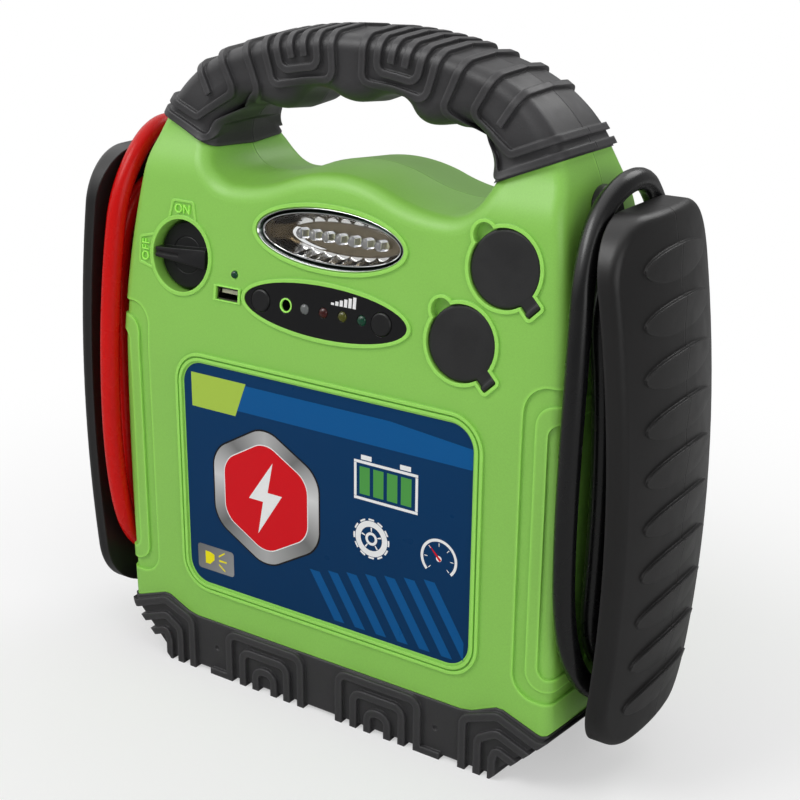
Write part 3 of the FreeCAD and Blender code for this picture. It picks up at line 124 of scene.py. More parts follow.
def moulded_group():
    """Fine grain from the mould, a painted highlight on outer edges, slow changes of tone and gloss, and
    the parting line at Y = 0."""
    tree, given, put = new_group(
        "moulded_grain_and_edge_highlight",
        {"Colour": (0.5, 0.5, 0.5, 1), "Mottle": 0.1, "Roughness": 0.5, "Smudge": 0.1, "Grain": 0.2,
         "Grain per metre": 1700.0, "Seam": 0.0, "Painted edge highlight": 0.5},
        {"Colour": "Color", "Roughness": "Float", "Height": "Float"})
    place = object_place(tree)
    slow = noise(tree, place, TONE_PER_METRE, Detail=3.0)
    hand = noise(tree, place, SMUDGES_PER_METRE, Detail=4.0, Distortion=0.6)
    fine = noise(tree, place, given["Grain per metre"], Detail=1.0)
    depth = wired(tree, "SeparateXYZ", {0: place}).outputs["Y"]
    depth = wired(tree, "Math", {0: depth}, operation="ABSOLUTE").outputs[0]
    edge = sum_of(tree, given["Seam"], SEAM_WIDER, 1e-9)
    seam = wired(tree, "MapRange", {"Value": depth, "From Min": given["Seam"], "From Max": edge,
                                    "To Min": 1.0, "To Max": 0.0}).outputs[0]
    tone = wired(tree, "Math", {0: slow, 1: 0.5}, operation="SUBTRACT").outputs[0]
    tone = sum_of(tree, tone, given["Mottle"], 1.0)
    speck = wired(tree, "Math", {0: fine, 1: 0.5}, operation="SUBTRACT").outputs[0]
    tone = sum_of(tree, speck, given["Grain"], tone)
    tone = sum_of(tree, seam, SEAM_SHADE, tone)
    # Painted highlight: outer edges, found by ambient occlusion cast inwards, are made lighter in colour.
    painted_edge_highlight = wired(tree, "AmbientOcclusion", {"Distance": EDGE_REACH}, inside=True, only_local=True,
                   samples=6).outputs["AO"]
    painted_edge_highlight = wired(tree, "Math", {0: 1.0, 1: painted_edge_highlight}, operation="SUBTRACT").outputs[0]
    tone = sum_of(tree, painted_edge_highlight, given["Painted edge highlight"], tone)
    colour = wired(tree, "VectorMath", {0: given["Colour"], "Scale": tone}, operation="SCALE").outputs[0]
    tree.links.new(colour, put["Colour"])
    gloss = wired(tree, "Math", {0: hand, 1: 0.5}, operation="SUBTRACT").outputs[0]
    tree.links.new(sum_of(tree, gloss, given["Smudge"], given["Roughness"]), put["Roughness"])
    relief = wired(tree, "Math", {0: fine, 1: given["Grain"]}, operation="MULTIPLY").outputs[0]
    tree.links.new(sum_of(tree, seam, SEAM_DEPTH, relief), put["Height"])
    return tree


MOULDED = moulded_group()
RELIEF = 0.00012


def principled(name, **sockets):
    """A material of one Principled shader with its plain values set."""
    material = bpy.data.materials.new(name)
    material.use_nodes = True
    shader = material.node_tree.nodes["Principled BSDF"]
    for label, value in sockets.items():
        shader.inputs[label.replace("_", " ")].default_value = value
    return material, material.node_tree, shader


def moulding(name, colour, gloss, mottle=0.1, smudge=0.1, grain=0.2, per_metre=1700.0, seam=0.0,
             edge=0.0004, light=0.5, **sockets):
    """A moulded plastic or rubber with soft edges; light sets the painted highlight on its outer edges."""
    material, tree, shader = principled(name, **sockets)
    skin = wired(tree, "Group", node_tree=MOULDED)
    for label, value in (("Colour", (*colour, 1)), ("Mottle", mottle), ("Roughness", gloss),
                         ("Smudge", smudge), ("Grain", grain), ("Grain per metre", per_metre),
                         ("Seam", seam), ("Painted edge highlight", light)):
        skin.inputs[label].default_value = value
    tree.links.new(skin.outputs["Colour"], shader.inputs["Base Color"])
    tree.links.new(skin.outputs["Roughness"], shader.inputs["Roughness"])
    soft = wired(tree, "Bevel", {"Radius": edge}, samples=6)
    bump = wired(tree, "Bump", {"Strength": 1.0, "Distance": RELIEF, "Height": skin.outputs["Height"],
                                "Normal": soft.outputs[0]})
    tree.links.new(bump.outputs[0], shader.inputs["Normal"])
    return material


JACKETS = {
    "black": moulding("black_lead_jacket", (0.004, 0.004, 0.0045), 0.27, mottle=0.25, smudge=0.14,
                      grain=0.10, light=0.0, Specular_IOR_Level=0.5),
    "red": moulding("red_lead_jacket", (0.58, 0.004, 0.003), 0.27, mottle=0.12, smudge=0.12,
                    grain=0.10, light=0.0, Specular_IOR_Level=0.2)}


def lead(colour):
    """One lead as a smooth line through the turns of its winding."""
    curve = bpy.data.curves.new(colour + "_lead_line", "CURVE")
    curve.dimensions = "3D"
    curve.bevel_depth = LEAD_DIAMETER / 2
    curve.bevel_resolution = 7
    curve.use_fill_caps = True
    spline = curve.splines.new("NURBS")
    spline.points.add(len(LEAD_ROUTE) - 1)
    for point, (x, y, z) in zip(spline.points, LEAD_ROUTE):
        point.co = (SIDES[colour] * x / 1000, y / 1000, z / 1000, 1)
    spline.order_u = 3
    spline.use_endpoint_u = True
    spline.resolution_u = 10
    piece = bpy.data.objects.new(colour + "_jump_lead", curve)
    scene.collection.objects.link(piece)
    curve.materials.append(JACKETS[colour])
    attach(piece, "case")
    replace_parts(piece, colour + "_lead")
    return piece


LEADS = {colour: lead(colour) for colour in SIDES}


# Case: two deep shells of bright green plastic, moulded with a fine satin grain and
# screwed together from behind. The joint runs round the middle as a thin dark line.
def finish_node(name, material):
    """Gives a carried-over solid its finish."""
    nodes[name].data.materials.clear()
    nodes[name].data.materials.append(material)


# Its outer edges and raised rims get a painted highlight.
green_plastic = moulding("green_case_plastic", (0.243, 0.548, 0.082), 0.42, mottle=0.05, smudge=0.07,
                         grain=0.16, seam=0.0002, edge=0.0006, light=0.8)
for shell in ("front_shell", "rear_shell", "park_lugs"):
    finish_node(shell, green_plastic)

# Grip and bumpers: soft black rubber moulded over the handle and over the foot of the case,
# with raised ribs. It picks up a little dust, so its gloss is uneven.
# The edges of its ribs get a painted highlight.
black_rubber = moulding("black_rubber_moulding", (0.033, 0.0322, 0.034), 0.42, mottle=0.35, smudge=0.22,
                        grain=0.35, per_metre=1400.0, seam=0.0002, edge=0.0012, light=1.0,
                        Specular_IOR_Level=0.4)
for cover in ("grip_front", "grip_rear", "bumper_front", "bumper_rear", "foot_pad"):
    finish_node(cover, black_rubber)

# Side arms: hard black plastic in a front and a rear half, with a drum that the leads go round
# and a tall ribbed flange outside it. They are a little glossier than the rubber.
# The edges of the arm ribs get a strong painted highlight.
arm_plastic = moulding("black_arm_plastic", (0.012, 0.0115, 0.0115), 0.36, mottle=0.3, smudge=0.18,
                       grain=0.25, seam=0.0002, edge=0.001, light=1.8, Specular_IOR_Level=0.35)
for side in ("right", "left"):
    for half in ("front", "rear"):
        finish_node("side_arm_%s_%s" % (half, side), arm_plastic)


# Screws: six zinc plated cross-head screws at the bottom of deep holes in the rear shell.
# They reach into the front shell and hold the two together.
def metal(name, colour, gloss, spread, per_metre):
    """A bare metal whose gloss and tone change in fine streaks."""
    material, tree, shader = principled(name, Metallic=1.0)
    streak = noise(tree, object_place(tree), per_metre, Detail=3.0)
    low = tuple(c * (1 - spread) for c in colour)
    ramp = wired(tree, "ValToRGB", {"Fac": streak})
    ramp.color_ramp.elements[0].position = 0.3
    ramp.color_ramp.elements[0].color = (*low, 1)
    ramp.color_ramp.elements[1].position = 0.7
    ramp.color_ramp.elements[1].color = (*colour, 1)
    tree.links.new(ramp.outputs[0], shader.inputs["Base Color"])
    tree.links.new(sum_of(tree, streak, spread, gloss), shader.inputs["Roughness"])
    return material


zinc = metal("zinc_plated_steel", (0.55, 0.55, 0.54), 0.25, 0.2, 600)
finish_node("case_screws", zinc)

# Label: a printed film stuck in a shallow recess under the panel. The ground is navy blue,
# and the motifs are generic signs for a battery, a gauge, a lamp and a tyre.
LABEL_FACE_Y = -0.048
LABEL_Z = 0.113
LABEL_FADE = 0.06
INK_LAYER, INK_SINK = 0.00006, 0.00004
PRINT_SPREAD = 0.12


def film(name, colour, gloss=0.3, shade=0.0):
    """Printed ink under a clear film. Shade darkens it slowly towards the foot of the label."""
    material, tree, shader = principled(name, Specular_IOR_Level=0.1)
    place = object_place(tree)
    height = wired(tree, "SeparateXYZ", {0: place}).outputs["Z"]
    fall = wired(tree, "MapRange", {"Value": height, "From Min": LABEL_Z - LABEL_FADE,
                                    "From Max": LABEL_Z + LABEL_FADE, "To Min": 1.0 - shade,
                                    "To Max": 1.0 + shade}).outputs[0]
    tone = sum_of(tree, noise(tree, place, 2600.0), PRINT_SPREAD, fall)
    mean = tuple(c * (1 - PRINT_SPREAD / 2) for c in colour)
    ink = wired(tree, "VectorMath", {0: mean, "Scale": tone}, operation="SCALE").outputs[0]
    tree.links.new(ink, shader.inputs["Base Color"])
    waves = sum_of(tree, noise(tree, place, 60.0), PRINT_SPREAD, gloss - PRINT_SPREAD / 2)
    tree.links.new(waves, shader.inputs["Roughness"])
    return material


navy = film("navy_print", (0.002, 0.034, 0.108), shade=0.10)
mid_blue = film("blue_print", (0.003, 0.085, 0.265), shade=0.05)
signal_red = film("red_print", (0.62, 0.006, 0.012))
lime = film("lime_print", (0.38, 0.55, 0.07))
white = film("white_print", (0.80, 0.80, 0.80))
yellow = film("yellow_print", (0.83, 0.74, 0.01))
ink_black = film("black_print", (0.012, 0.012, 0.012))
leaf_green = film("green_print", (0.075, 0.31, 0.065))
finish_node("label_plate", navy)
EMBLEM_X, EMBLEM_Z = -34, -3


def silver_print():
    """Printed brushed silver: light and dark rays round the middle of the emblem."""
    material, tree, shader = principled("silver_print", Roughness=0.3, Metallic=0.35, Coat_Weight=0.25,
                                        Coat_Roughness=0.18)
    centred = wired(tree, "Mapping", {0: object_place(tree),
                                      "Location": (-EMBLEM_X / 1000, LABEL_Z - EMBLEM_Z / 1000, 0.0),
                                      "Rotation": (math.radians(90), 0, 0)}).outputs[0]
    rays = wired(tree, "TexGradient", {0: centred}, gradient_type="RADIAL").outputs["Fac"]
    ramp = wired(tree, "ValToRGB", {"Fac": rays})
    stops = ramp.color_ramp.elements
    for end in (0, 1):
        stops[end].color = (0.75, 0.75, 0.75, 1)
    for share, grey in ((0.12, 0.22), (0.25, 0.55), (0.38, 0.2), (0.5, 0.8), (0.62, 0.2), (0.75, 0.5),
                        (0.88, 0.18)):
        stops.new(share).color = (grey, grey, grey, 1)
    tree.links.new(ramp.outputs[0], shader.inputs["Base Color"])
    return material


silver = silver_print()


def flat(bm, *outline):
    """A flat face with corners given as (x, z) in millimetres."""
    return bm.faces.new([bm.verts.new((x / 1000, 0, z / 1000)) for x, z in outline])


def bar(bm, left, foot, right, top):
    """A flat upright rectangle, in millimetres."""
    return flat(bm, (left, foot), (right, foot), (right, top), (left, top))


def band(bm, x, z, inner, outer, start=0.0, sweep=360.0, steps=48):
    """A flat ring or part of one, turned about (x, z), in millimetres and degrees."""
    lean = math.radians(start)
    along = Vector((math.cos(lean), 0, math.sin(lean)))
    centre = Vector((x, 0, z))
    ends = [bm.verts.new((centre + along * r) / 1000) for r in (inner, outer)]
    edge = bm.edges.new(ends)
    bmesh.ops.spin(bm, geom=ends + [edge], cent=centre / 1000, axis=(0, -1, 0), angle=math.radians(sweep),
                   steps=steps, use_merge=sweep == 360.0)


def round_spot(bm, x, z, radius, count=40):
    """A flat disc, or a polygon of few sides, in millimetres."""
    turn = Matrix.Translation((x / 1000, 0, z / 1000)) @ Matrix.Rotation(math.radians(90), 4, "X")
    bmesh.ops.create_circle(bm, cap_ends=True, segments=count, radius=radius / 1000, matrix=turn)


def softened(bm, geom, offset, segments, affect="VERTICES"):
    """Rounds corners or edges."""
    bmesh.ops.bevel(bm, geom=geom, offset=offset, segments=segments, profile=0.5, affect=affect, material=-1)


def extruded(bm, faces):
    """Extrudes faces and returns the new points, which haven't moved yet."""
    made = bmesh.ops.extrude_face_region(bm, geom=faces)["geom"]
    return [item for item in made if isinstance(item, bmesh.types.BMVert)]


def finished_mesh(name, bm, sharp=35):
    """Merges, turns every face outwards and shades the mesh smooth between its sharp edges."""
    bmesh.ops.remove_doubles(bm, verts=bm.verts, dist=2e-6)
    bmesh.ops.recalc_face_normals(bm, faces=bm.faces)
    mesh = bpy.data.meshes.new(name)
    bm.to_mesh(mesh)
    bm.free()
    mesh.shade_smooth()
    mesh.set_sharp_from_angle(angle=math.radians(sharp))
    return mesh


def add_piece(name, bm, material, body, sharp=35):
    """Finishes a mesh as a piece that rides on a body."""
    mesh = finished_mesh(name, bm, sharp)
    piece = bpy.data.objects.new(name, mesh)
    scene.collection.objects.link(piece)
    mesh.materials.clear()
    mesh.materials.append(material)
    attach(piece, body)
    return piece


def printed(name, bm, layer, ink):
    """Lays flat faces on the label as a thin layer of ink."""
    bmesh.ops.remove_doubles(bm, verts=bm.verts, dist=2e-6)
    bmesh.ops.translate(bm, verts=extruded(bm, bm.faces[:]), vec=(0, -INK_LAYER * layer - INK_SINK, 0))
    bmesh.ops.translate(bm, verts=bm.verts, vec=(0, LABEL_FACE_Y + INK_SINK, LABEL_Z))
    add_piece(name, bm, ink, "case")


STRIPE_COUNT, STRIPE_PITCH, STRIPE_WIDTH, STRIPE_LEAN = 7, 12.5, 6, 0.62
STRIPE_FOOT, STRIPES_RIGHT = -58, 0.0825
bm = bmesh.new()
for i in range(STRIPE_COUNT):
    left, top = 8 + STRIPE_PITCH * i, -34 + 2.2 * i
    shift = (top - STRIPE_FOOT) * STRIPE_LEAN
    flat(bm, (left + STRIPE_WIDTH, STRIPE_FOOT), (left, STRIPE_FOOT), (left - shift, top),
         (left + STRIPE_WIDTH - shift, top))
bmesh.ops.bisect_plane(bm, geom=bm.verts[:] + bm.edges[:] + bm.faces[:], plane_co=(STRIPES_RIGHT, 0, 0),
                       plane_no=(1, 0, 0), clear_outer=True)
printed("label_stripes", bm, 1, mid_blue)

bm = bmesh.new()
flat(bm, (-60, 54), (-66, 40), (84.9, 40), (84.9, 50), (40, 54))
printed("label_top_band", bm, 1, mid_blue)

bm = bmesh.new()
flat(bm, (-80, 55), (-80, 37), (-52, 37), (-45, 55))
printed("label_corner_mark", bm, 2, lime)

EMBLEM_CORNER = 0.00022
EMBLEM_LAYERS = [(39.0, "emblem_shadow", ink_black), (38.0, "emblem_silver", silver),
                 (30.6, "emblem_line", white), (30.0, "emblem_red", signal_red)]
for layer, (radius, name, ink) in enumerate(EMBLEM_LAYERS, 1):
    bm = bmesh.new()
    round_spot(bm, EMBLEM_X, EMBLEM_Z, radius, 6)
    softened(bm, bm.verts[:], radius * EMBLEM_CORNER, 6)
    printed(name, bm, layer, ink)

bm = bmesh.new()
bolt = [(5, 20), (-10.5, -2), (-1.5, -2), (-5, -20), (10.5, 3.5), (1.5, 3.5)]
flat(bm, *[(EMBLEM_X + x, EMBLEM_Z + z) for x, z in bolt])
printed("emblem_bolt", bm, 5, white)

bm = bmesh.new()
bar(bm, 20, 11, 56, 12.4)
bar(bm, 20, 29.6, 56, 31)
bar(bm, 20, 12.6, 21.4, 29.4)
bar(bm, 54.6, 12.6, 56, 29.4)
for left in (24, 46):
    bar(bm, left, 31.6, left + 6, 34)
printed("battery_sign", bm, 1, white)
bm = bmesh.new()
for i in range(4):
    bar(bm, 23.2 + 7.8 * i, 14, 29 + 7.8 * i, 28)
printed("battery_sign_bars", bm, 1, leaf_green)

ROUND_SIGNS_Z, GAUGE_SIGN_X, TYRE_SIGN_X = -8, 68, 30
bm = bmesh.new()
band(bm, GAUGE_SIGN_X, ROUND_SIGNS_Z, 8.6, 10, -45, 270)
for i in range(7):
    band(bm, GAUGE_SIGN_X, ROUND_SIGNS_Z, 6.2, 7.9, -46.5 + 45 * i, 3, 1)
round_spot(bm, GAUGE_SIGN_X, ROUND_SIGNS_Z, 1.5)
printed("gauge_sign", bm, 1, white)
bm = bmesh.new()
flat(bm, (68.4, -9.4), (69.4, -8.4), (62.6, -2.2))
printed("gauge_sign_needle", bm, 2, signal_red)

TREAD_COUNT, SPOKE_COUNT = 12, 5
bm = bmesh.new()
band(bm, TYRE_SIGN_X, ROUND_SIGNS_Z, 6.2, 9.2)
band(bm, TYRE_SIGN_X, ROUND_SIGNS_Z, 2.0, 3.4)
for i in range(TREAD_COUNT):
    band(bm, TYRE_SIGN_X, ROUND_SIGNS_Z, 9.5, 10.4, 360 / TREAD_COUNT * i - 9, 18, 3)
for i in range(SPOKE_COUNT):
    band(bm, TYRE_SIGN_X, ROUND_SIGNS_Z, 3.7, 5.9, 360 / SPOKE_COUNT * i + 14, 8, 1)
printed("tyre_sign", bm, 1, white)

bm = bmesh.new()
bar(bm, -80, -53, -56, -39)
softened(bm, bm.verts[:], 0.0018, 4)
printed("lamp_badge", bm, 1, silver)
bm = bmesh.new()
flat(bm, (-75, -49.5), (-72, -49.5), (-69, -46.5), (-69, -43.5), (-72, -42.5), (-75, -42.5))
for i in range(3):
    turn = math.radians(-35 + 35 * i)
    x, z = -67 + 1.2 * math.cos(turn), -46 + 4 * math.sin(turn)
    flat(bm, (x, z - 0.5), (x + 5 * math.cos(turn), z + 5 * math.sin(turn) - 0.4),
         (x + 5 * math.cos(turn), z + 5 * math.sin(turn) + 0.4), (x, z + 0.5))
printed("lamp_sign", bm, 2, yellow)


# Isolator: a black rotary switch in a round recess. Its bar shows where it stands,
# between the two moulded tabs with the words for on and off.
TILT = math.radians(7)
PANEL_Z = 0.211
SLOPE_FOOT_Y, SLOPE_FOOT_Z = -0.0470214, 0.188


def on_panel(x, z):
    """The place of a piece on the sloping panel; its own -Y faces out of the case."""
    y = SLOPE_FOOT_Y + (z - SLOPE_FOOT_Z) * math.tan(TILT)
    return Matrix.Translation((x, y, z)) @ Matrix.Rotation(-TILT, 4, "X")


def joined(bm, part, place):
    """Puts a part in its place and adds it to the mesh."""
    bmesh.ops.transform(part, matrix=place, verts=part.verts)
    mesh = bpy.data.meshes.new("part")
    part.to_mesh(mesh)
    part.free()
    bm.from_mesh(mesh)
    bpy.data.meshes.remove(mesh)


def spun(bm, profile, place, count=48):
    """Adds a profile of (radius, depth) points in metres, turned about its own Y axis and put in place."""
    turned = bmesh.new()
    points = [turned.verts.new((radius, deep, 0)) for radius, deep in profile]
    lines = [turned.edges.new(pair) for pair in zip(points, points[1:])]
    bmesh.ops.spin(turned, geom=points + lines, cent=(0, 0, 0), axis=(0, 1, 0), angle=2 * math.pi,
                   steps=count, use_merge=True)
    bmesh.ops.remove_doubles(turned, verts=turned.verts, dist=1e-6)
    joined(bm, turned, place)


def slab(bm, outline, near, far, place, spread=1.0, soft=0.0):
    """Adds a plate with (x, z) corners from one depth to another, in millimetres, its far side spread."""
    plate = bmesh.new()
    face = flat(plate, *outline)
    bmesh.ops.translate(plate, verts=plate.verts, vec=(0, near / 1000, 0))
    pushed = extruded(plate, [face])
    bmesh.ops.scale(plate, verts=pushed, vec=(1 + (spread - 1) / 3, 1, spread))
    bmesh.ops.translate(plate, verts=pushed, vec=(0, (far - near) / 1000, 0))
    if soft:
        rim = [e for e in plate.edges if max(v.co.y for v in e.verts) < near / 1000 + 1e-6]
        softened(plate, rim, soft / 1000, 3, "EDGES")
    joined(bm, plate, place)


ISOLATOR = on_panel(-0.0885, 0.2251)
KNOB_RADIUS, KNOB_FACE, KNOB_BACK = 0.0168, 0.0045, 0.0114
KNOB_BAR = [(-16.3, -2.4), (15.8, -4.6), (15.8, 4.6), (-16.3, 2.4)]
BAR_MARK = [(-16.3, 0.75), (-1.6, 0.75), (-1.0, 0), (-1.6, -0.75), (-16.3, -0.75)]
knob_plastic = moulding("knob_plastic", (0.0055, 0.0055, 0.006), 0.40, mottle=0.3, smudge=0.16,
                        grain=0.25, edge=0.0006, Specular_IOR_Level=0.3)
finish_node("isolator_switch", knob_plastic)
bm = bmesh.new()
spun(bm, [(0, KNOB_FACE), (0.0088, KNOB_FACE), (0.0091, 0.0048), (0.0094, KNOB_FACE), (0.0160, KNOB_FACE),
          (KNOB_RADIUS, 0.0053), (KNOB_RADIUS, KNOB_BACK), (0, KNOB_BACK)], ISOLATOR, 64)
slab(bm, KNOB_BAR, -0.3, 4.8, ISOLATOR, 1.16, 0.3)
slab(bm, KNOB_BAR + BAR_MARK, -1.0, -0.1, ISOLATOR, 1.0, 0.25)
turning_knob = add_piece("isolator_turning_knob", bm, knob_plastic, "isolator_knob")
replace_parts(turning_knob, "isolator_knob")
UPRIGHT = Matrix.Rotation(math.radians(90), 4, "X")


def lettering(name, words, height, thick, place, material):
    """Raised letters on the case; the place puts their own +Z face outwards."""
    line = bpy.data.curves.new(name, "FONT")
    line.body = words
    line.size = height
    line.extrude = thick
    line.align_x = "CENTER"
    line.align_y = "CENTER"
    line.resolution_u = 4
    written = bpy.data.objects.new(name + "_line", line)
    scene.collection.objects.link(written)
    bpy.context.view_layer.update()
    mesh = bpy.data.meshes.new_from_object(written.evaluated_get(bpy.context.evaluated_depsgraph_get()))
    bpy.data.objects.remove(written)
    bm = bmesh.new()
    bm.from_mesh(mesh)
    bmesh.ops.transform(bm, matrix=place, verts=bm.verts)
    add_piece(name, bm, material, "case")


WORD_HEIGHT, WORD_RISE, WORD_OUT = 0.0064, 0.0005, 0.0229
WORD_Y = -0.0004
# The letters are the case's green plastic painted a little lighter, a painted highlight on the raised
# strokes.
green_letters_painted_lighter = moulding("raised_letter_plastic_painted_lighter", (0.275, 0.62, 0.085), 0.42, mottle=0.05, smudge=0.07,
                        grain=0.16, edge=0.0002)
upright_word = ISOLATOR @ Matrix.Translation((0, WORD_Y, WORD_OUT)) @ UPRIGHT
lettering("on_word", "ON", WORD_HEIGHT, WORD_RISE, upright_word, green_letters_painted_lighter)
turned_word = (ISOLATOR @ Matrix.Translation((-WORD_OUT, WORD_Y, 0)) @ UPRIGHT
               @ Matrix.Rotation(math.radians(90), 4, "Z"))
lettering("off_word", "OFF", WORD_HEIGHT, WORD_RISE, turned_word, green_letters_painted_lighter)


# Work lamp: a chromed oval bowl behind a clear lens. Seven clear LEDs stand in a row on a dull
# oval plate, each between two concave flutes of the bowl, whose left end is a smooth cone with a
# painted dark brown reflection.
LAMP = on_panel(0, 0.2449)
LAMP_WIDE, LAMP_HIGH = 0.042, 0.0142
LED_COUNT, LED_PITCH, LED_MIDDLE = 7, 0.0074, 0.0035
PLATE_DEPTH, PLATE_X = 0.0085, 0.0042


def lamp_metal(name, gloss, axis, *stops):
    """Plated plastic whose tone runs through (place, colour) stops across or into the lamp, in metres."""
    material, tree, shader = principled(name, Metallic=1.0)
    place = object_place(tree)
    way = LAMP.to_3x3() @ Vector(axis)
    along = wired(tree, "VectorMath", {0: place, 1: way}, operation="DOT_PRODUCT").outputs["Value"]
    haze = noise(tree, place, 160.0, Detail=3.0)
    first, last = stops[0][0], stops[-1][0]
    start = way.dot(LAMP.translation)
    share = wired(tree, "MapRange", {"Value": along, "From Min": start + first,
                                     "From Max": start + last}).outputs[0]
    share = sum_of(tree, haze, 0.12, sum_of(tree, share, 1.0, -0.06))
    ramp = wired(tree, "ValToRGB", {"Fac": share})
    points = ramp.color_ramp.elements
    points[0].color = (*stops[0][1], 1)
    points[1].color = (*stops[-1][1], 1)
    for where, colour in stops[1:-1]:
        points.new((where - first) / (last - first)).color = (*colour, 1)
    tree.links.new(ramp.outputs[0], shader.inputs["Base Color"])
    tree.links.new(sum_of(tree, haze, 0.08, gloss), shader.inputs["Roughness"])
    return material


def clear_finish(name, colour, gloss=0.02, ior=1.49, thick=1.0):
    """A clear or tinted plastic, with the faintest unevenness of a moulded lens."""
    material, tree, shader = principled(name, Base_Color=(*colour, 1), IOR=ior, Transmission_Weight=thick)
    flow = noise(tree, object_place(tree), 300.0, Detail=1.0)
    tree.links.new(sum_of(tree, flow, 0.04, gloss), shader.inputs["Roughness"])
    bump = wired(tree, "Bump", {"Strength": 0.25, "Distance": 0.0001, "Height": flow})
    tree.links.new(bump.outputs[0], shader.inputs["Normal"])
    return material


BRIGHT, PAINTED_DARK_REFLECTION, PAINTED_BROWN_REFLECTION = (0.82, 0.82, 0.83), (0.030, 0.050, 0.038), (0.040, 0.029, 0.016)
TAUPE, PALE_YELLOW = (0.135, 0.112, 0.078), (0.62, 0.60, 0.36)
INWARDS, ACROSS = (0, 1, 0), (1, 0, 0)
# The bezel's colour runs from a bright painted reflection at its outer edge into a dark green-black painted
# reflection band.
bezel_chrome_painted_reflection = lamp_metal("bezel_chrome_painted_reflection", 0.06, INWARDS, (-0.0006, BRIGHT), (0.0002, (0.45, 0.46, 0.46)),
                          (0.0010, PAINTED_DARK_REFLECTION), (0.0022, PAINTED_DARK_REFLECTION), (0.0030, (0.30, 0.31, 0.31)))
# The bowl's left cone is painted dark brown as a painted reflection; across the rest the chrome is bright.
bowl_chrome_painted_reflection = lamp_metal("bowl_chrome_painted_reflection", 0.07, ACROSS, (-0.039, PAINTED_BROWN_REFLECTION), (-0.033, (0.065, 0.050, 0.030)),
                         (-0.024, PAINTED_BROWN_REFLECTION), (-0.021, (0.62, 0.61, 0.60)), (0.039, (0.55, 0.54, 0.53)))
bright_chrome = lamp_metal("bright_chrome", 0.05, ACROSS, (-0.042, BRIGHT), (0.042, BRIGHT))
plate_metal = lamp_metal("led_plate_metal", 0.20, ACROSS, (-0.027, TAUPE), (0.035, TAUPE))
clear = clear_finish("clear_lens_plastic", (0.97, 0.98, 0.98), ior=1.2)
led_resin = clear_finish("clear_led_resin", (0.84, 0.85, 0.89), 0.02, thick=0.88)
frame_metal = lamp_metal("led_frame_metal", 0.3, ACROSS, (-0.03, PALE_YELLOW), (0.03, PALE_YELLOW))


def oval_rings(bm, rings, count=96, closed=False, flutes=None):
    """A skin through ovals given as (half width, half height, depth, x). It runs back to the first oval
    or is capped at both ends, and flutes says how far a point of a ring moves along Z."""
    loops = []
    for i, (wide, high, deep, x) in enumerate(rings):
        turns = [2 * math.pi * j / count for j in range(count)]
        points = [Vector((x + wide * math.cos(turn), deep, high * math.sin(turn))) for turn in turns]
        if flutes:
            for point in points:
                point.z += flutes(point, max(0, i - 1) / (len(rings) - 2))
        loops.append([bm.verts.new(point) for point in points])
    for near, far in zip(loops, loops[1:] + loops[:1] if closed else loops[1:]):
        for j in range(count):
            bm.faces.new((near[j - 1], near[j], far[j], far[j - 1]))
    if not closed:
        bm.faces.new(loops[0])
        bm.faces.new(loops[-1])


def lamp_piece(name, bm, material, sharp):
    """A piece of the lamp, made about its middle and put in place."""
    bmesh.ops.transform(bm, matrix=LAMP, verts=bm.verts)
    return add_piece(name, bm, material, "case", sharp)


def oval_frame(name, material, *rings):
    """A closed oval ring whose section runs through ovals set in from the lamp's edge."""
    bm = bmesh.new()
    oval_rings(bm, [(LAMP_WIDE - inset, LAMP_HIGH - inset, deep, 0) for inset, deep in rings], 128, True)
    return lamp_piece(name, bm, material, 50)


bezel = oval_frame("lamp_bezel", bezel_chrome_painted_reflection, (0.0, 0.0140), (0.0, 0.0), (0.0002, -0.0004),
                   (0.0006, -0.0006), (0.0009, -0.0003), (0.0012, 0.0005), (0.0017, 0.0014),
                   (0.0023, 0.0021), (0.0029, 0.0026), (0.0032, 0.0032), (0.0020, 0.0140))
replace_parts(bezel, "lamp_reflector")
LIP_INSET, LIP_DEPTH = 0.0034, 0.0026
oval_frame("lamp_inner_lip", bright_chrome, (0.0025, 0.0034), (0.0025, 0.0014), (0.0027, 0.0011),
           (0.0031, 0.0011), (LIP_INSET, 0.0014), (LIP_INSET, 0.0034))
FLUTE_OUT, FLUTE_IN = 0.0016, 0.0004


def flute(point, share):
    """A pocket above and one below the plate for each LED, deepest beside it and gone at the lip."""
    along = (point.x - LED_MIDDLE) / LED_PITCH + 0.5
    if abs(along - 0.5) > LED_COUNT / 2:
        return 0.0
    side = 1 if point.z > 0 else -1
    pocket = math.sin(math.pi * share ** 0.7 / 2) * abs(math.sin(math.pi * along))
    return side * FLUTE_OUT * pocket - side * FLUTE_IN * share


BOWL_STEPS, BOWL_NARROWS, BOWL_LOWERS = 9, 0.0076, 0.0034
bm = bmesh.new()
bowl_rings = [(LAMP_WIDE - LIP_INSET, LAMP_HIGH - LIP_INSET, PLATE_DEPTH + 0.0015, 0)]
for i in range(BOWL_STEPS + 1):
    bowl_rings.append((LAMP_WIDE - LIP_INSET - BOWL_NARROWS * i / BOWL_STEPS,
                       LAMP_HIGH - LIP_INSET - BOWL_LOWERS * i / BOWL_STEPS,
                       LIP_DEPTH + (PLATE_DEPTH - LIP_DEPTH) * math.sin(math.pi / 2 * i / BOWL_STEPS),
                       PLATE_X * i / BOWL_STEPS))
oval_rings(bm, bowl_rings, 320, flutes=flute)
lamp_piece("lamp_bowl", bm, bowl_chrome_painted_reflection, 40)

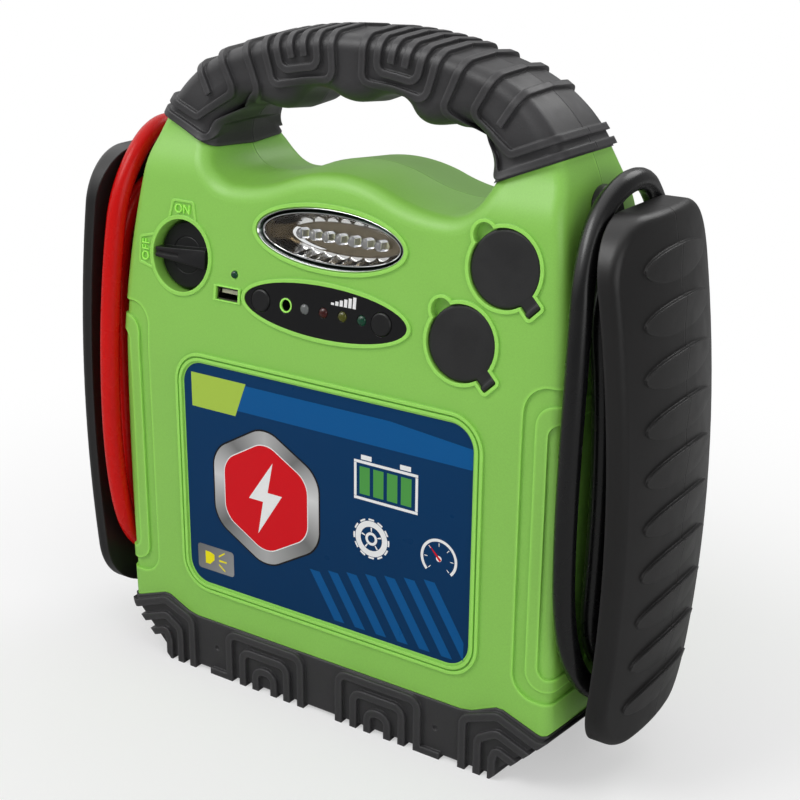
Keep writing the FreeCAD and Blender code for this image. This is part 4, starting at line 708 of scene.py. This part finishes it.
PLATE_FACE = PLATE_DEPTH - 0.0008
bm = bmesh.new()
oval_rings(bm, [(0.0308, 0.0073, PLATE_DEPTH - 0.0001, PLATE_X), (0.0308, 0.0073, PLATE_FACE, PLATE_X),
                (0.0303, 0.0069, PLATE_FACE, PLATE_X), (0.0301, 0.0067, PLATE_DEPTH - 0.0004, PLATE_X)])
lamp_piece("lamp_led_plate", bm, plate_metal, 40)

bm = bmesh.new()
turns = [math.radians(158 + 8.6 * i) for i in range(11)]
ends = [[(x + wide * math.cos(turn), high * math.sin(turn)) for turn in turns]
        for x, wide, high in ((4.2, 30.3, 6.9), (6.8, 28.6, 6.5))]
for near, far in zip(zip(*ends), list(zip(*ends))[1:]):
    flat(bm, near[0], near[1], far[1], far[0])
bmesh.ops.remove_doubles(bm, verts=bm.verts, dist=2e-6)
bmesh.ops.solidify(bm, geom=bm.faces[:], thickness=0.0002)
bmesh.ops.translate(bm, verts=bm.verts, vec=(0, PLATE_FACE, 0))
lamp_piece("lamp_plate_glint", bm, bright_chrome, 35)


def dome(bm, place, radius, height, count=24, rings=8, flatten=1.0):
    """A short post with a round top that points along the place's own -Y."""
    rise = radius * flatten
    profile = [(0.0, 0.0), (radius, 0.0), (radius, -(height - rise))]
    for i in range(1, rings):
        turn = math.pi / 2 * i / rings
        profile.append((radius * math.cos(turn), -(height - rise) - rise * math.sin(turn)))
    spun(bm, profile + [(0.0, -height)], place, count)


bm = bmesh.new()
frames = bmesh.new()
for i in range(LED_COUNT):
    seat = LAMP @ Matrix.Translation((LED_PITCH * (i - 3) + LED_MIDDLE, PLATE_DEPTH - 0.0005, 0.0003))
    dome(bm, seat, 0.0027, 0.0060)
    slab(frames, [(0.6, -1.0), (0.8, -1.0), (0.8, 1.0), (0.6, 1.0)], -3.8, -0.1, seat)
leds = add_piece("lamp_led_domes", bm, led_resin, "case")
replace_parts(leds, "lamp_leds")
add_piece("lamp_led_frames", frames, frame_metal, "case")

LENS_SKIN = [(0.0030, 0.0016), (0.0038, 0.0011), (0.0070, 0.0006), (0.0160, 0.0002), (0.0280, 0.0)]
LENS_LOWER, LENS_THICK = 0.0018, 0.0010


def lens_rings(sink):
    """The ovals of one face of the lens, from its rim to its middle."""
    return [(LAMP_WIDE - inset, (LAMP_HIGH - LENS_LOWER) * (1 - inset / LAMP_WIDE), deep + sink, 0)
            for inset, deep in LENS_SKIN]


bm = bmesh.new()
oval_rings(bm, lens_rings(0.0)[::-1] + lens_rings(LENS_THICK))
bmesh.ops.transform(bm, matrix=LAMP, verts=bm.verts)
lens = add_piece("lamp_domed_lens", bm, clear, "case", 50)
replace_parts(lens, "lamp_lens")

# Control panel: a gloss black oval plate with a push button at each end, a charging jack,
# a two-colour lamp and three lamps for the charge, with a small rising scale above them.
CONTROL = on_panel(0, PANEL_Z)
gloss_panel = moulding("gloss_black_panel", (0.0055, 0.0055, 0.006), 0.24, mottle=0.1, smudge=0.05,
                       grain=0.03, Specular_IOR_Level=0.3)
button_rubber = moulding("button_rubber", (0.007, 0.007, 0.0075), 0.36, mottle=0.2, smudge=0.12,
                         grain=0.2, edge=0.0007, Specular_IOR_Level=0.4)
finish_node("control_panel", gloss_panel)
finish_node("lamp_button", button_rubber)
finish_node("battery_button", button_rubber)
finish_node("charging_jack", knob_plastic)
finish_node("control_board", moulding("circuit_board", (0.02, 0.13, 0.04), 0.4, mottle=0.3, grain=0.3))


def middle_x(node):
    """Where the middle of a node lies across the pack."""
    low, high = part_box(node)
    return (low[0] + high[0]) / 2


def resin(name, colour):
    """The half clear tinted resin of a small LED."""
    return clear_finish(name, colour, 0.05, thick=0.5)


green_resin = resin("green_led_resin", (0.004, 0.085, 0.040))
for node, place, radius, colour, slot in (
        ("polarity_led", CONTROL, 0.0024, resin("grey_led_resin", (0.22, 0.23, 0.23)), "clear_lens"),
        ("low_led", CONTROL, 0.0024, resin("red_led_resin", (0.075, 0.006, 0.004)), "red_lens"),
        ("medium_led", CONTROL, 0.0024, resin("yellow_led_resin", (0.12, 0.125, 0.010)), "yellow_lens"),
        ("full_led", CONTROL, 0.0024, green_resin, "green_lens"),
        ("usb_led", on_panel(0, 0.2208), 0.0018, green_resin, "green_lens")):
    bm = bmesh.new()
    seat = place @ Matrix.Translation((middle_x(node), 0.0010, 0))
    dome(bm, seat, radius, 0.0026, 32, 8, 0.62)
    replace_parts(add_piece(node + "_dome", bm, colour, "case", 50), node)

bm = bmesh.new()
jack_place = CONTROL @ Matrix.Translation((middle_x("charging_jack"), 0, 0))
spun(bm, [(0.0028, 0.0005), (0.0028, -0.0007), (0.0030, -0.0009), (0.0033, -0.0009), (0.0035, -0.0007),
          (0.0035, 0.0005), (0.0028, 0.0005)], jack_place)
add_piece("jack_ring", bm, green_plastic, "case", 50)

SCALE_LEFT, SCALE_PITCH, SCALE_BAR, SCALE_FOOT = 4.2, 2.45, 1.75, 4.6
bm = bmesh.new()
for i in range(6):
    left = SCALE_LEFT + SCALE_PITCH * i
    bar(bm, left, SCALE_FOOT, left + SCALE_BAR, SCALE_FOOT + 1.1 + 0.85 * i)
bmesh.ops.translate(bm, verts=extruded(bm, bm.faces[:]), vec=(0, -0.00008, 0))
bmesh.ops.transform(bm, matrix=CONTROL @ Matrix.Translation((0, -0.00048, 0)), verts=bm.verts)
add_piece("charge_scale", bm, white, "case")

# USB socket: a plated steel shell in a small moulded frame, with its pale contact tongue inside.
# It sits in the green case at the left of the panel, with a small green lamp above it.
finish_node("usb_socket", metal("usb_shell_steel", (0.16, 0.15, 0.13), 0.22, 0.15, 500))
finish_node("usb_tongue", moulding("contact_tongue", (0.50, 0.48, 0.36), 0.45, grain=0.1))

# 12 V sockets: black barrels behind the panel. Each has a soft rubber cap with a strap,
# which hinges on a round root at the lower right.
# The caps' edges get a painted highlight.
cap_rubber = moulding("cap_rubber", (0.019, 0.0188, 0.0195), 0.38, mottle=0.6, smudge=0.4, grain=0.25,
                      edge=0.0016, light=1.0, Specular_IOR_Level=0.4)
for name in ("lower", "upper"):
    finish_node(name + "_socket_cap", cap_rubber)
    finish_node(name + "_socket", knob_plastic)

# Inside: the sealed battery, its hold-down bar and terminals, and the small compressor over it.
# The closed case hides them, but each has the finish of the real piece.
finish_node("battery", moulding("battery_case_plastic", (0.03, 0.03, 0.035), 0.5))
finish_node("battery_terminals", metal("terminal_brass", (0.72, 0.53, 0.22), 0.25, 0.15, 400))
finish_node("battery_clamp_bar", moulding("clamp_bar_plastic", (0.03, 0.03, 0.03), 0.5))
finish_node("compressor_motor", zinc)
finish_node("compressor_pump", metal("cast_aluminium", (0.62, 0.62, 0.62), 0.4, 0.2, 900))

# Rear bay: the pressure gauge, the compressor switch and the brass hose outlet, set in a tub.
# The gauge has a white printed dial, a red needle and a clear lens in a black ring.
DIAL_STEPS, MARKS_A_STEP = 10, 5
DIAL_SWEEP = 270
MARK_END = 19.2
NUMBER_RADIUS = 13.4
finish_node("gauge_body", knob_plastic)
finish_node("rocker_frame", knob_plastic)
finish_node("compressor_rocker", knob_plastic)
finish_node("hose_outlet", metal("turned_brass", (0.74, 0.55, 0.24), 0.18, 0.12, 700))
finish_node("gauge_dial", film("dial_white", (0.78, 0.78, 0.76), 0.4))
finish_node("gauge_needle", film("needle_red", (0.6, 0.02, 0.01), 0.35))
finish_node("gauge_lens", clear)


def on_rear_panel(x, z, deep):
    """The place of a piece on the rear panel; its own -Y faces out behind and +X is right seen from there."""
    y = -SLOPE_FOOT_Y - (z - SLOPE_FOOT_Z) * math.tan(TILT)
    return (Matrix.Translation((x, y, z)) @ Matrix.Rotation(math.pi, 4, "Z") @ Matrix.Rotation(-TILT, 4, "X")
            @ Matrix.Translation((0, deep, 0)))


DIAL = on_rear_panel(-0.034, 0.213, 0.00815)


def on_dial(radius, share, across=0.0):
    """A point on the dial at a radius, a share of the sweep from the needle's rest at the top and a
    distance across it, in millimetres."""
    turn = math.radians(DIAL_SWEEP * share)
    return (radius * math.sin(turn) + across * math.cos(turn),
            radius * math.cos(turn) - across * math.sin(turn))


bm = bmesh.new()
for i in range(MARKS_A_STEP * DIAL_STEPS + 1):
    share = i / (MARKS_A_STEP * DIAL_STEPS)
    inner, half = (16.4, 0.28) if i % MARKS_A_STEP == 0 else (18.0, 0.14)
    slab(bm, [on_dial(inner, share, -half), on_dial(MARK_END, share, -half), on_dial(MARK_END, share, half),
              on_dial(inner, share, half)], -0.05, 0.1, DIAL)
add_piece("gauge_scale", bm, ink_black, "case")
for i in range(DIAL_STEPS + 1):
    x, z = on_dial(NUMBER_RADIUS, i / DIAL_STEPS)
    lettering("gauge_number_%d" % i, str(i), 0.0040, 0.00005,
              DIAL @ Matrix.Translation((x / 1000, 0, z / 1000)) @ UPRIGHT, ink_black)

# Clamps: insulated spring clamps of hard plastic, parked on two lugs behind the case. Toothed
# steel plates are riveted to both sides of each jaw, and the lead enters the outer handle.
CLAMP_X, CLAMP_Y, CLAMP_Z = 110, 65, 190
JAW_HALF = 6
HANDLE_TOP, HANDLE_END = -8.5, -88
HANDLE_ROOT_IN, HANDLE_ROOT_OUT = 1.7, 16.5
TOOTH, TOOTH_COUNT = 1.45, 16
HANDLE_SWELLS_FROM, HANDLE_SWELL = -30, 40
RIB_COUNT, RIB_TOP, RIB_PITCH, RIB_HALF, RIB_SHORTER = 8, -42, 4.6, 0.9, 2.2
red_plastic = moulding("red_clamp_plastic", (0.52, 0.010, 0.006), 0.36, mottle=0.1, smudge=0.12,
                       grain=0.15, Specular_IOR_Level=0.35)
CLAMP_PLASTICS = {"black": knob_plastic, "red": red_plastic}


def tooth_plate(bm, place):
    """The two steel plates of one jaw, with their teeth along the inner edge, and their rivets."""
    teeth = [(1.9 + 1.5 * (i % 2), 65 - TOOTH * i) for i in range(TOOTH_COUNT + 1)]
    for near, far in ((-JAW_HALF - 0.8, -JAW_HALF + 0.1), (JAW_HALF - 0.1, JAW_HALF + 0.8)):
        slab(bm, teeth + [(8.2, 41.5), (8.6, 46), (7.2, 56), (4.4, 65)], near, far, place)
    for x, z in ((0.0056, 0.047), (0.0045, 0.058)):
        spun(bm, [(0, -0.0074), (0.0009, -0.0073), (0.0012, -0.0069), (0.0012, 0.0069), (0.0009, 0.0073),
                  (0, 0.0074)], place @ Matrix.Translation((x, 0, z)), 16)


def handle_ribs(bm, place, handle_in, handle_out):
    """Ribs across the outer face of one handle, which is widest at its end."""
    for i in range(RIB_COUNT):
        z = RIB_TOP - RIB_PITCH * i
        inner = HANDLE_ROOT_IN + (handle_in - HANDLE_ROOT_IN) * (HANDLE_TOP - z) / (HANDLE_TOP - HANDLE_END)
        swell = min(1, (HANDLE_SWELLS_FROM - z) / HANDLE_SWELL)
        outer = HANDLE_ROOT_OUT + 0.5 + swell * (handle_out - HANDLE_ROOT_OUT)
        left, right = inner + RIB_SHORTER, outer - RIB_SHORTER
        slab(bm, [(left, z - RIB_HALF), (right, z - RIB_HALF), (right, z + RIB_HALF), (left, z + RIB_HALF)],
             -JAW_HALF - 0.6, -JAW_HALF + 0.1, place, 1.0, 0.35)


SLEEVE_RINGS = [(0.0063 - 0.00012 * i - 0.0006 * (step > 1), 0.003 * i + (0, 0.0016, 0.0019, 0.0029)[step])
                for i in range(6) for step in range(4)]
for colour, side in SIDES.items():
    plastic = CLAMP_PLASTICS[colour]
    for part, hand, handle_in, handle_out, body in (("fixed_jaw", 1, 10.5, 22.5, "case"),
                                                    ("moving_jaw", -1, 17, 24, colour + "_clamp_moving_jaw")):
        jaw = "%s_clamp_%s" % (colour, part)
        finish_node(jaw, plastic)
        place = (Matrix.Translation((side * CLAMP_X / 1000, CLAMP_Y / 1000, CLAMP_Z / 1000))
                 @ Matrix.Diagonal((side * hand, -1, 1, 1)))
        bm = bmesh.new()
        tooth_plate(bm, place)
        add_piece(jaw + "_teeth", bm, zinc, body)
        bm = bmesh.new()
        handle_ribs(bm, place, handle_in, handle_out)
        add_piece(jaw + "_ribs", bm, plastic, body)
    finish_node(colour + "_clamp_pin", zinc)
    finish_node(colour + "_lead_gland", black_rubber)

    bm = bmesh.new()
    spun(bm, [(0.0051, -0.0002)] + SLEEVE_RINGS + [(0.0051, 0.0180), (0.0051, -0.0002)],
         Matrix.Translation((side * GLAND_X, GLAND_Y, GLAND_TOP)) @ UPRIGHT, 32)
    add_piece(colour + "_lead_sleeve", bm, black_rubber, "case")
    bm = bmesh.new()
    spun(bm, [(0.0051, -0.0140), (0.0058, -0.0140), (0.0061, -0.0130), (0.0066, -0.0002), (0.0051, -0.0002),
              (0.0051, -0.0140)],
         Matrix.Translation((side * 0.1265, CLAMP_Y / 1000, (CLAMP_Z + HANDLE_END) / 1000)) @ UPRIGHT, 32)
    add_piece(colour + "_clamp_boot", bm, plastic, "case")


# Studio: a plain white floor, a soft key light from the upper left, a fill from the right
# and an even pale room, which shows in the reflections as a bright ceiling over dimmer walls.
def by_ray(tree, plain, mirrored, direct):
    """One shader for diffuse light, one for reflections and one for the camera and clear glass."""
    path = wired(tree, "LightPath").outputs
    plain = wired(tree, "MixShader", {0: path["Is Glossy Ray"], 1: plain, 2: mirrored}).outputs[0]
    through = wired(tree, "Math", {0: path["Is Camera Ray"], 1: path["Is Transmission Ray"]},
                    operation="MAXIMUM").outputs[0]
    return wired(tree, "MixShader", {0: through, 1: plain, 2: direct}).outputs[0]


WHITE = (1.0, 1.0, 1.0, 1)
world = bpy.data.worlds.new("studio")
scene.world = world
world.use_nodes = True
tree = world.node_tree
room = tree.nodes["Background"]
room.inputs["Color"].default_value = WHITE
room.inputs["Strength"].default_value = 0.50
backdrop = wired(tree, "Background", {"Color": WHITE, "Strength": 1.0})
upwards = wired(tree, "VectorMath", {0: wired(tree, "TexCoord").outputs["Generated"],
                                     1: (-0.50, -0.10, 0.86)}, operation="DOT_PRODUCT").outputs["Value"]
ceiling = wired(tree, "MapRange", {"Value": upwards, "From Min": 0.3, "From Max": 0.95, "To Min": 0.25,
                                   "To Max": 1.6}, interpolation_type="SMOOTHSTEP").outputs[0]
softbox = wired(tree, "Background", {"Color": WHITE, "Strength": ceiling})
tree.links.new(by_ray(tree, room.outputs[0], softbox.outputs[0], backdrop.outputs[0]),
               tree.nodes["World Output"].inputs[0])

bm = bmesh.new()
bmesh.ops.create_grid(bm, x_segments=1, y_segments=1, size=6.0)
floor_mesh = finished_mesh("floor", bm)
floor = bpy.data.objects.new("floor", floor_mesh)
scene.collection.objects.link(floor)
floor_paint, tree, shader = principled("floor_paint", Base_Color=(0.93, 0.93, 0.93, 1), Roughness=0.9)
away = wired(tree, "VectorMath", {0: object_place(tree)}, operation="LENGTH").outputs["Value"]
whiteness = wired(tree, "MapRange", {"Value": away, "From Min": 0.15, "From Max": 0.55, "To Min": 0.45,
                                     "To Max": 1.0}, interpolation_type="SMOOTHSTEP").outputs[0]
lit = wired(tree, "Emission", {"Color": WHITE, "Strength": 1.0}).outputs[0]
dark = wired(tree, "Emission", {"Color": WHITE, "Strength": 0.0}).outputs[0]
blend = wired(tree, "MixShader", {0: whiteness, 1: shader.outputs[0], 2: lit}).outputs[0]
dimmed = wired(tree, "MixShader", {0: 0.6, 1: shader.outputs[0], 2: dark}).outputs[0]
tree.links.new(by_ray(tree, shader.outputs[0], dimmed, blend), tree.nodes["Material Output"].inputs[0])
floor_mesh.materials.append(floor_paint)
LIGHTS_AIM = Vector((0, 0, 0.15))


def soft_light(name, place, size, power):
    """A round soft light that points at the middle of the pack."""
    light = bpy.data.objects.new(name, bpy.data.lights.new(name, "AREA"))
    light.data.shape = "DISK"
    light.data.size = size
    light.data.energy = power
    light.location = place
    light.rotation_euler = (LIGHTS_AIM - Vector(place)).to_track_quat("-Z", "Y").to_euler()
    scene.collection.objects.link(light)


soft_light("key", (-0.7, -1.0, 1.5), 1.0, 12.8)
soft_light("fill", (1.4, -0.6, 0.7), 1.2, 5.4)
soft_light("rim", (0.3, 1.3, 1.4), 1.0, 7.2)
